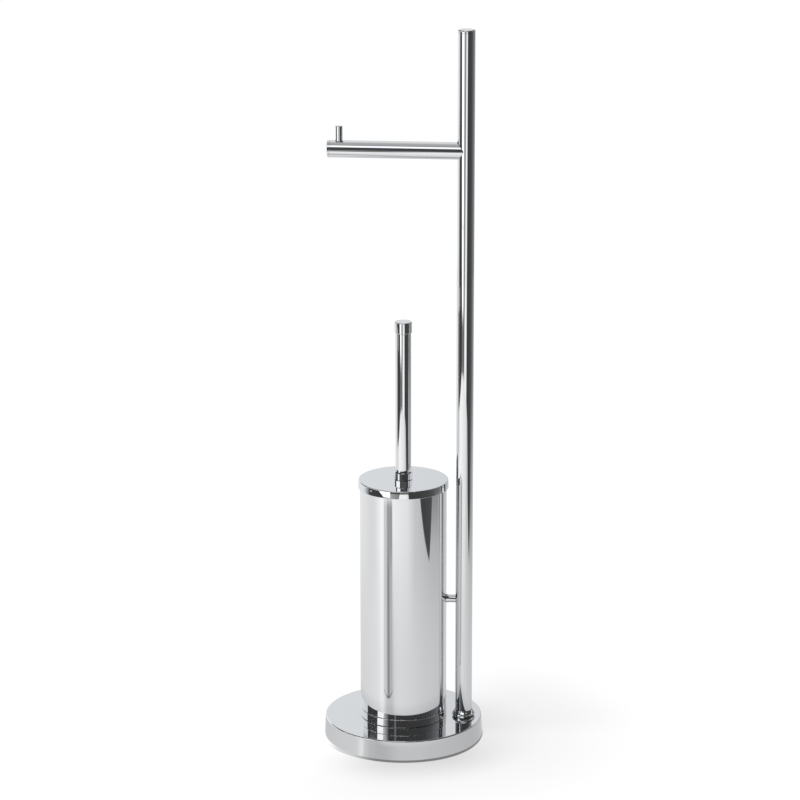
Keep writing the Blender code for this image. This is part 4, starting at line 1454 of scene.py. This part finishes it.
@dataclass(frozen=True)
class Band:
    """The grey band that the canister shows at its left: a painted reflection of a round post, on the
    table.

    Places across it run from -1 to 1 as the canister shows them. Places along it are metres from its
    round foot or from the stand's axis.
    """

    azimuth: float = -41.5
    half: float = 11.8
    start: float = 0.194
    bow: float = 0.022
    left_side: Step = Step(-1.08, -0.95)
    right_side: Step = Step(1.08, 0.95)
    foot: Step = Step(-0.001, 0.001)
    end: Step = Step(1.00, 0.93)
    core_left: Step = Step(-0.27, -0.13)
    core_right: Step = Step(0.42, 0.28)
    # Painted shade across the band: darker past its middle and at its right
    middle: Step = Step(-0.60, -0.20)
    right: Step = Step(0.10, 0.30)
    far: Step = Step(0.60, 0.80)
    # Painted shadow round the band's round foot
    outline: Step = Step(0.0080, 0.0045)
    tone: float = 0.77
    middle_shade_depth: float = 0.10
    right_shade_depth: float = 0.09
    right_far_shade_depth: float = 0.16
    core_tone: float = 0.34
    core_far_gain: float = 0.08
    foot_shadow_depth: float = 0.55

    def painted(self, level: Value, azimuth: Value, distance: Value) -> Value:
        """A level with the band painted over it.

        The band starts where the distance passes start + bow across^2.

        Args:
            level: the level without the band.
            azimuth: the azimuth in which the canister shows the spot.
            distance: metres from the stand's axis.

        Returns:
            The level with the band.
        """
        across = (azimuth - self.azimuth) / self.half
        from_foot = distance - self.start - across * across * self.bow
        inside = self.left_side.of(across) * self.right_side.of(across)
        inside = inside * self.foot.of(from_foot) * self.end.of(distance)
        core = self.core_left.of(across) * self.core_right.of(across)
        far = self.far.of(distance)
        # Painted shade: darker past the middle and at the right
        right = self.right.of(across) * (far * self.right_far_shade_depth + self.right_shade_depth)
        tone = self.tone - self.middle.of(across) * self.middle_shade_depth - right
        tone = tone * (1.0 - core) + core * (far * self.core_far_gain + self.core_tone)
        # Painted shadow round the foot
        tone = tone * (1.0 - self.outline.of(from_foot) * self.foot_shadow_depth)
        return level * (1.0 - inside) + tone * inside


@dataclass(frozen=True)
class Table:
    """The pale table under the stand as mirrors see it: its ends and its levels of painted light and shade.

    Azimuths are degrees round the stand from the camera's direction, distances are metres from its
    axis. The levels at the base's rim pass over into the near and then the far levels.
    """

    base_radius: float = 0.0890
    canister_radius: float = 0.0485
    far_gain: float = 1.25
    # Painted light and shade of the table: darker at the base's rim, lighter far out at the front left,
    # darker to the right
    rim_levels: Levels = (
        (-180.0, 0.66), (-120.0, 0.76), (-80.0, 0.78), (-71.0, 0.82), (-67.0, 0.97), (-62.0, 0.94),
        (-60.0, 0.76), (-50.0, 0.63), (-37.0, 0.575), (-28.0, 0.58), (-19.0, 0.62), (-7.0, 0.685),
        (7.0, 0.69), (22.0, 0.69), (37.0, 0.66), (70.0, 0.635), (90.0, 0.61), (124.0, 0.57), (180.0, 0.62),
    )
    near_levels: Levels = (
        (-180.0, 0.66), (-165.0, 0.80), (-100.0, 0.90), (-72.0, 0.96), (-60.0, 1.10), (-54.0, 0.98),
        (-46.0, 0.72), (-32.0, 0.68), (-22.0, 0.86), (-10.0, 0.89), (20.0, 0.84), (60.0, 0.76),
        (110.0, 0.71), (160.0, 0.74), (180.0, 0.66),
    )
    far_levels: Levels = (
        (-180.0, 0.70), (-150.0, 0.77), (-120.0, 0.77), (-100.0, 0.72), (-84.0, 0.72), (-72.0, 0.82),
        (-61.0, 0.96), (-48.0, 0.94), (-15.0, 0.85), (12.0, 0.78), (30.0, 0.58), (84.0, 0.43),
        (110.0, 0.41), (130.0, 0.425), (150.0, 0.53), (180.0, 0.60),
    )
    # Painted shade that darkens the table far out to the right
    right_falls: Levels = (
        (-180.0, 0.0), (60.0, 0.0), (80.0, 0.50), (110.0, 0.46), (130.0, 0.24), (150.0, 0.14), (175.0, 0.0),
    )
    near_start: Step = Step(0.138, 0.156)
    far_start: Step = Step(0.25, 0.95)
    # Painted shade on the table near the base's foot
    foot_shade: Step = Step(0.190, 0.148)
    foot_depth: float = 0.12
    right_fall: Step = Step(0.95, 1.65)
    # Painted shade on the table to the right, from 0.7 m out
    side_start: Step = Step(72.0, 80.0)
    side_end: Step = Step(112.0, 98.0)
    side_fall: Step = Step(0.70, 1.00)
    side_depth: float = 0.38
    slant: float = 0.16
    widening: float = 0.05
    widening_start: Step = Step(-0.60, -0.80)
    side_edge: Step = Step(0.626, 0.646)
    corner_slant: float = 0.32
    corner_edge: Step = Step(-0.362, -0.386)
    end_scale: float = 2.0
    end_shares: Levels = (
        (-180.0, 1.00), (-126.0, 1.00), (-110.0, 0.640), (-80.0, 0.645), (-58.0, 0.70), (-46.0, 0.76),
        (-20.0, 0.77), (24.0, 0.70), (34.0, 0.66), (48.0, 0.65), (80.0, 1.00), (180.0, 1.00),
    )
    end_edge: Step = Step(0.0, 0.03)
    end_left: Step = Step(-112.0, -106.0)
    end_right: Step = Step(84.0, 78.0)
    band: Band = Band()

    def mirrored_azimuth(self, azimuth: Value, distance: Value, radius: float) -> Value:
        """The azimuth in which an upright round mirror on the axis shows a spot on the table.

        A mirror of radius R shows the spot at distance r and azimuth a in the azimuth 2 f with
        r sin(2 f - a) = R sin f, which is close to 2 f = 2 r a / (2 r - R).

        Args:
            azimuth: the spot's azimuth.
            distance: its distance.
            radius: the mirror's radius.

        Returns:
            The azimuth in degrees.
        """
        return azimuth * distance * 2.0 / (distance * 2.0 - radius).most(radius)

    def level(self, graph: Graph, azimuth: Value, distance: Value) -> Value:
        """The table's brightness, with its painted light and shade.

        Args:
            graph: the graph to build in.
            azimuth: the spot's azimuth.
            distance: its distance.

        Returns:
            The level.
        """
        base_azimuth = self.mirrored_azimuth(azimuth, distance, self.base_radius)
        canister_azimuth = self.mirrored_azimuth(azimuth, distance, self.canister_radius)
        rim = graph.round_level(base_azimuth, self.rim_levels)
        near = graph.round_level(canister_azimuth, self.near_levels)
        far = graph.round_level(canister_azimuth, self.far_levels) * self.far_gain
        # Painted shade: the table darkens far out to the right and near the base's foot
        falls = graph.round_level(azimuth, self.right_falls)
        side = self.side_start.of(azimuth) * self.side_end.of(azimuth)
        fall = 1.0 - falls * self.right_fall.of(distance)
        fall = fall * (1.0 - side * self.side_fall.of(distance) * self.side_depth)
        from_rim = self.near_start.of(distance)
        to_far = self.far_start.of(distance)
        near = near * from_rim * (1.0 - self.foot_shade.of(distance) * self.foot_depth)
        close = rim * (1.0 - from_rim) + near
        level = (close * (1.0 - to_far) + far * to_far) * fall
        return self.band.painted(level, canister_azimuth, distance)

    def beyond(self, graph: Graph, x: Value, y: Value, azimuth: Value, distance: Value) -> Value:
        """Where the table has ended.

        It ends beside the line x + slant y = side to the right where it also lies ahead of the
        corner's line, and in front at a distance that changes with the azimuth.

        Args:
            graph: the graph to build in.
            x: the spot's first coordinate.
            y: the spot's second coordinate.
            azimuth: its azimuth.
            distance: its distance.

        Returns:
            0 on the table and 1 beyond it.
        """
        side = x + y * self.slant - self.widening_start.of(y) * self.widening
        corner = y - x * self.corner_slant
        end = graph.round_level(azimuth, self.end_shares) * self.end_scale
        before = self.end_edge.of(distance - end) * self.end_left.of(azimuth) * self.end_right.of(azimuth)
        return (self.side_edge.of(side) * self.corner_edge.of(corner)).most(before)


@dataclass(frozen=True)
class FloorShade:
    """Painted shade on the floor as the camera sees it: a thin contact shadow under the base and a soft
    shadow.
    """

    base_radius: float = 0.0890
    # Painted contact shadow: a thin dark line on the floor along the base's rim, in front and to the right
    contact_shadow_starts: tuple[Step, Step] = (Step(-70.0, -50.0), Step(-40.0, -18.0))
    contact_shadow_shares: tuple[float, float] = (0.45, 0.55)
    contact_shadow_end: Step = Step(112.0, 80.0)
    contact_shadow_reach: float = 0.0052
    contact_shadow_narrowing: float = 0.0036
    contact_shadow_narrows: Step = Step(25.0, 85.0)
    contact_shadow_edge: Step = Step(0.0, 0.0018)
    contact_shadow_depth: float = 0.72
    # Painted soft shadow of the stand on the floor, in front and to the right
    shadow_start: Step = Step(-62.0, -8.0)
    shadow_end: Step = Step(172.0, 125.0)
    close_reach: Step = Step(0.075, 0.0)
    close_depth: float = 0.20
    close_thins: Step = Step(30.0, 80.0)
    close_thinning: float = 0.7
    side_start: Step = Step(85.0, 105.0)
    side_reach: Step = Step(0.230, 0.100)
    side_depth: float = 0.045
    wide_reach: Step = Step(0.220, 0.020)
    wide_depth: float = 0.085

    def light(self, azimuth: Value, distance: Value) -> Value:
        """The share of light that the shade leaves.

        Args:
            azimuth: degrees round the stand from the camera's direction.
            distance: metres from the stand's axis.

        Returns:
            The share: (1 - contact shadow) (1 - shadow).
        """
        out = distance - self.base_radius
        # Painted contact shadow along the base's rim
        first, second = (
            start.of(azimuth) * share for start, share in zip(self.contact_shadow_starts, self.contact_shadow_shares)
        )
        reach = self.contact_shadow_reach - self.contact_shadow_narrows.of(azimuth) * self.contact_shadow_narrowing
        contact_shadow = self.contact_shadow_edge.of(reach - out) * (first + second)
        contact_shadow = contact_shadow * self.contact_shadow_end.of(azimuth) * self.contact_shadow_depth
        # Painted soft shadow beside the base
        right = self.shadow_start.of(azimuth) * self.shadow_end.of(azimuth)
        close = self.close_reach.of(out) * self.close_depth
        close = close * (1.0 - self.close_thins.of(azimuth) * self.close_thinning)
        side = self.side_start.of(azimuth) * self.side_reach.of(out) * self.side_depth
        shadow = (close + side + self.wide_reach.of(out) * self.wide_depth) * right
        return (1.0 - contact_shadow) * (1.0 - shadow)


@dataclass
class Studio:
    """Camera, pale floor, soft lamp and the screens that the chrome mirrors."""

    image_size: float = 800.0
    focal_pixels: float = 3045.3
    sensor: float = 36.0
    clip_start: float = 0.1
    clip_end: float = 200.0
    camera_distance: float = 3.2295
    camera_height: float = 1.2913
    pitch: float = 0.27199
    roll: float = -0.0010569
    pan: float = -0.0011156
    azimuth: float = 5.5
    surround_level: float = 0.07
    ambient_level: float = 0.50
    sun_level: float = 0.50
    sun_spread: float = 40.0
    sun_place: tuple[float, float, float] = (-0.55, 0.10, 1.0)
    floor_half: float = 30.0
    floor_glow: float = 0.93
    floor_tone: float = 0.10
    table: Table = Table()
    floor_shade: FloorShade = FloorShade()
    screens: tuple[Screen, ...] = SCREENS
    ceiling_level: float = 0.48
    ceiling_gain: float = 0.26
    ceiling_rise: Step = Step(-0.2, 1.8)
    ceiling_height: float = 5.0
    ceiling_half: tuple[float, float] = (1.1, 2.3)

    def build(self) -> None:
        """Builds the whole studio."""
        self.build_camera()
        self.build_world()
        self.build_floor()
        self.build_lamp()
        for screen in self.screens:
            self.build_screen(screen)
        self.build_ceiling()
        bpy.context.scene.view_settings.view_transform = "Standard"

    def build_camera(self) -> None:
        """Makes the camera at the photograph's place, turned round the stand by its azimuth."""
        data = bpy.data.cameras.new("camera")
        data.sensor_width = self.sensor
        data.lens = self.focal_pixels / self.image_size * self.sensor
        data.clip_start = self.clip_start
        data.clip_end = self.clip_end
        level_ahead = math.cos(self.pitch)
        ahead = np.array([
            math.sin(self.pan) * level_ahead, math.cos(self.pan) * level_ahead, -math.sin(self.pitch),
        ])
        right = np.cross(ahead, (0.0, 0.0, 1.0))
        right /= np.linalg.norm(right)
        up = np.cross(right, ahead)
        rolled_right = math.cos(self.roll) * right + math.sin(self.roll) * up
        rolled_up = -math.sin(self.roll) * right + math.cos(self.roll) * up
        place = (0.0, -self.camera_distance, self.camera_height)
        columns = np.stack([rolled_right, rolled_up, -ahead, place], axis=1)
        matrix = Matrix(np.concatenate([columns, [[0.0, 0.0, 0.0, 1.0]]]).tolist())
        camera = bpy.data.objects.new("camera", data)
        camera.matrix_world = Matrix.Rotation(math.radians(self.azimuth), 4, "Z") @ matrix
        bpy.context.scene.collection.objects.link(camera)
        bpy.context.scene.camera = camera

    def build_world(self) -> None:
        """Makes the world: white to the camera, dark to mirrors, plain light on the rest."""
        world = bpy.data.worlds.new("studio")
        world.use_nodes = True
        graph = Graph(world.node_tree)
        seen = graph.light_path("Is Camera Ray")
        through = graph.light_path("Is Transmission Ray")
        mirrored = graph.light_path("Is Glossy Ray")
        white = seen.most(through)
        rest = 1.0 - white.most(mirrored)
        level = white + mirrored * self.surround_level + rest * self.ambient_level
        sky = graph.node("ShaderNodeBackground", {}, {"Color": level, "Strength": 1.0})
        graph.surface(sky, "ShaderNodeOutputWorld")
        bpy.context.scene.world = world

    def build_lamp(self) -> None:
        """Makes the broad lamp that gives part of the stand's soft shadow to the right; the rest is
        painted.
        """
        data = bpy.data.lights.new("soft_sun", "SUN")
        data.energy = self.sun_level * math.pi
        data.angle = math.radians(self.sun_spread)
        lamp = bpy.data.objects.new("soft_sun", data)
        lamp.rotation_mode = "QUATERNION"
        lamp.rotation_quaternion = Vector(self.sun_place).to_track_quat("Z", "Y")
        lamp.visible_glossy = False
        bpy.context.scene.collection.objects.link(lamp)

    def add_stage(self, name: str, points: np.ndarray, quads: np.ndarray, uv: np.ndarray,
                  material: bpy.types.Material) -> bpy.types.Object:
        """Adds a stage surface.

        Args:
            name: its name.
            points: its vertices.
            quads: its faces.
            uv: a texture place for each vertex.
            material: its material.

        Returns:
            The object.
        """
        mesh = bpy.data.meshes.new(name)
        mesh.from_pydata(points.tolist(), [], quads.tolist())
        layer = mesh.uv_layers.new(name="place")
        corners = np.zeros(len(mesh.loops), np.int32)
        mesh.loops.foreach_get("vertex_index", corners)
        layer.data.foreach_set("uv", uv[corners].astype(np.float32).ravel())
        mesh.materials.append(material)
        mesh.shade_smooth()
        made = bpy.data.objects.new(name, mesh)
        bpy.context.scene.collection.objects.link(made)
        return made

    def leave_to_mirrors(self, made: bpy.types.Object) -> None:
        """Hides a stage surface from all but mirrors."""
        made.visible_camera = False
        made.visible_diffuse = False
        made.visible_transmission = False
        made.visible_volume_scatter = False
        made.visible_shadow = False

    def build_floor(self) -> None:
        """Makes the floor: white with a partly painted soft shadow to the camera, a painted table with ends
        to mirrors.
        """
        made = bpy.data.materials.new("studio_floor")
        made.use_nodes = True
        graph = Graph(made.node_tree)
        place = graph.object_place()
        x = graph.coordinate(place, "X")
        y = graph.coordinate(place, "Y")
        turn = graph.node("ShaderNodeMath", {"operation": "ARCTAN2"}, {0: x, 1: 0.0 - y})
        azimuth = turn * math.degrees(1.0) - self.azimuth
        distance = (x * x + y * y).power(0.5)
        # Painted shade on the floor: a contact shadow under the base and a soft shadow beside it
        light = self.floor_shade.light(azimuth, distance)
        glow = graph.glow(light * self.floor_glow)
        matt = graph.node("ShaderNodeBsdfDiffuse", {}, {"Color": light * self.floor_tone})
        lit = graph.node("ShaderNodeAddShader", {}, {0: glow, 1: matt})
        # Painted light and shade of the table that mirrors see
        table = graph.glow(self.table.level(graph, azimuth, distance))
        beyond = self.table.beyond(graph, x, y, azimuth, distance)
        reflected = graph.node("ShaderNodeMixShader", {}, {0: beyond, 1: table, 2: graph.clear()})
        mirrored = graph.light_path("Is Glossy Ray")
        graph.surface(graph.node("ShaderNodeMixShader", {}, {0: mirrored, 1: lit, 2: reflected}))
        corners = np.array([(-1.0, -1.0, 0.0), (1.0, -1.0, 0.0), (1.0, 1.0, 0.0), (-1.0, 1.0, 0.0)])
        self.add_stage("floor", corners * self.floor_half, np.array([[0, 1, 2, 3]]), corners[:, :2], made)

    def build_screen(self, screen: Screen) -> None:
        """Makes a screen: an arc of its distance between its heights.

        azimuth(u, v) runs evenly with u between the two azimuths of the foot at v = 0 and of the top
        at v = 1.

        Args:
            screen: the screen.
        """
        across, up = np.meshgrid(
            np.linspace(0.0, 1.0, SCREEN_COLUMNS), np.linspace(0.0, 1.0, SCREEN_ROWS), indexing="ij",
        )
        height = screen.low + (screen.high - screen.low) * up
        foot = screen.foot[0] + (screen.foot[1] - screen.foot[0]) * across
        top = screen.top[0] + (screen.top[1] - screen.top[0]) * across
        turn = np.radians(foot + (top - foot) * up + self.azimuth)
        points = np.stack([screen.distance * np.sin(turn), -screen.distance * np.cos(turn), height], axis=2)
        index = np.arange(across.size).reshape(across.shape)
        quads = np.stack([index[:-1, :-1], index[1:, :-1], index[1:, 1:], index[:-1, 1:]], axis=2)
        uv = np.stack([across, up], axis=2).reshape(-1, 2)
        material = self.screen_material(screen)
        made = self.add_stage(screen.name, points.reshape(-1, 3), quads.reshape(-1, 4), uv, material)
        self.leave_to_mirrors(made)

    def screen_material(self, screen: Screen) -> bpy.types.Material:
        """Makes a screen's glowing material, clear at its faded edges.

        Args:
            screen: the screen.

        Returns:
            The material.
        """
        material = bpy.data.materials.new(screen.name)
        material.use_nodes = True
        graph = Graph(material.node_tree)
        where = graph.node("ShaderNodeTexCoord", output="UV")
        u = graph.coordinate(where, "X")
        v = graph.coordinate(where, "Y")
        share = u.rise(0.0, screen.fade) * u.rise(1.0, 1.0 - screen.fade)
        share = share * v.rise(0.0, screen.foot_fade) * v.rise(1.0, 1.0 - screen.top_fade)
        start = screen.foot[0]
        width = screen.foot[1] - start
        level = graph.ramp(u, [
            ((azimuth - start) / width, level / HIGHEST_LEVEL) for azimuth, level in screen.stops
        ])
        brightest = tuple(HIGHEST_LEVEL * part for part in screen.tint)
        light = graph.glow(graph.mix_colours(level, (0.0, 0.0, 0.0), brightest))
        graph.surface(graph.node("ShaderNodeMixShader", {}, {0: share, 1: graph.clear(), 2: light}))
        return material

    def build_ceiling(self) -> None:
        """Makes the grey ceiling over the stand, lighter towards the back, for mirrors only."""
        material = bpy.data.materials.new("ceiling")
        material.use_nodes = True
        graph = Graph(material.node_tree)
        y = graph.coordinate(graph.object_place(), "Y")
        graph.surface(graph.glow(self.ceiling_rise.of(y) * self.ceiling_gain + self.ceiling_level))
        corners = np.array([(-1.0, -1.0), (1.0, -1.0), (1.0, 1.0), (-1.0, 1.0)])
        points = np.concatenate([corners * self.ceiling_half, np.full((4, 1), self.ceiling_height)], axis=1)
        made = self.add_stage("ceiling", points, np.array([[0, 1, 2, 3]]), corners, material)
        self.leave_to_mirrors(made)


def main() -> None:
    """Builds the studio and the stand's sub-assemblies in order."""
    logging.basicConfig(level=logging.INFO, format="%(message)s")
    Studio().build()
    bench = Bench()
    for part in (Base(), Canister(), Pole(), Arm(), Strut(), Liner(), Lid(), Handle(), BrushHead()):
        part.build(bench)
        LOG.info("built the %s", type(part).__name__.lower())


if __name__ == "__main__":
    main()
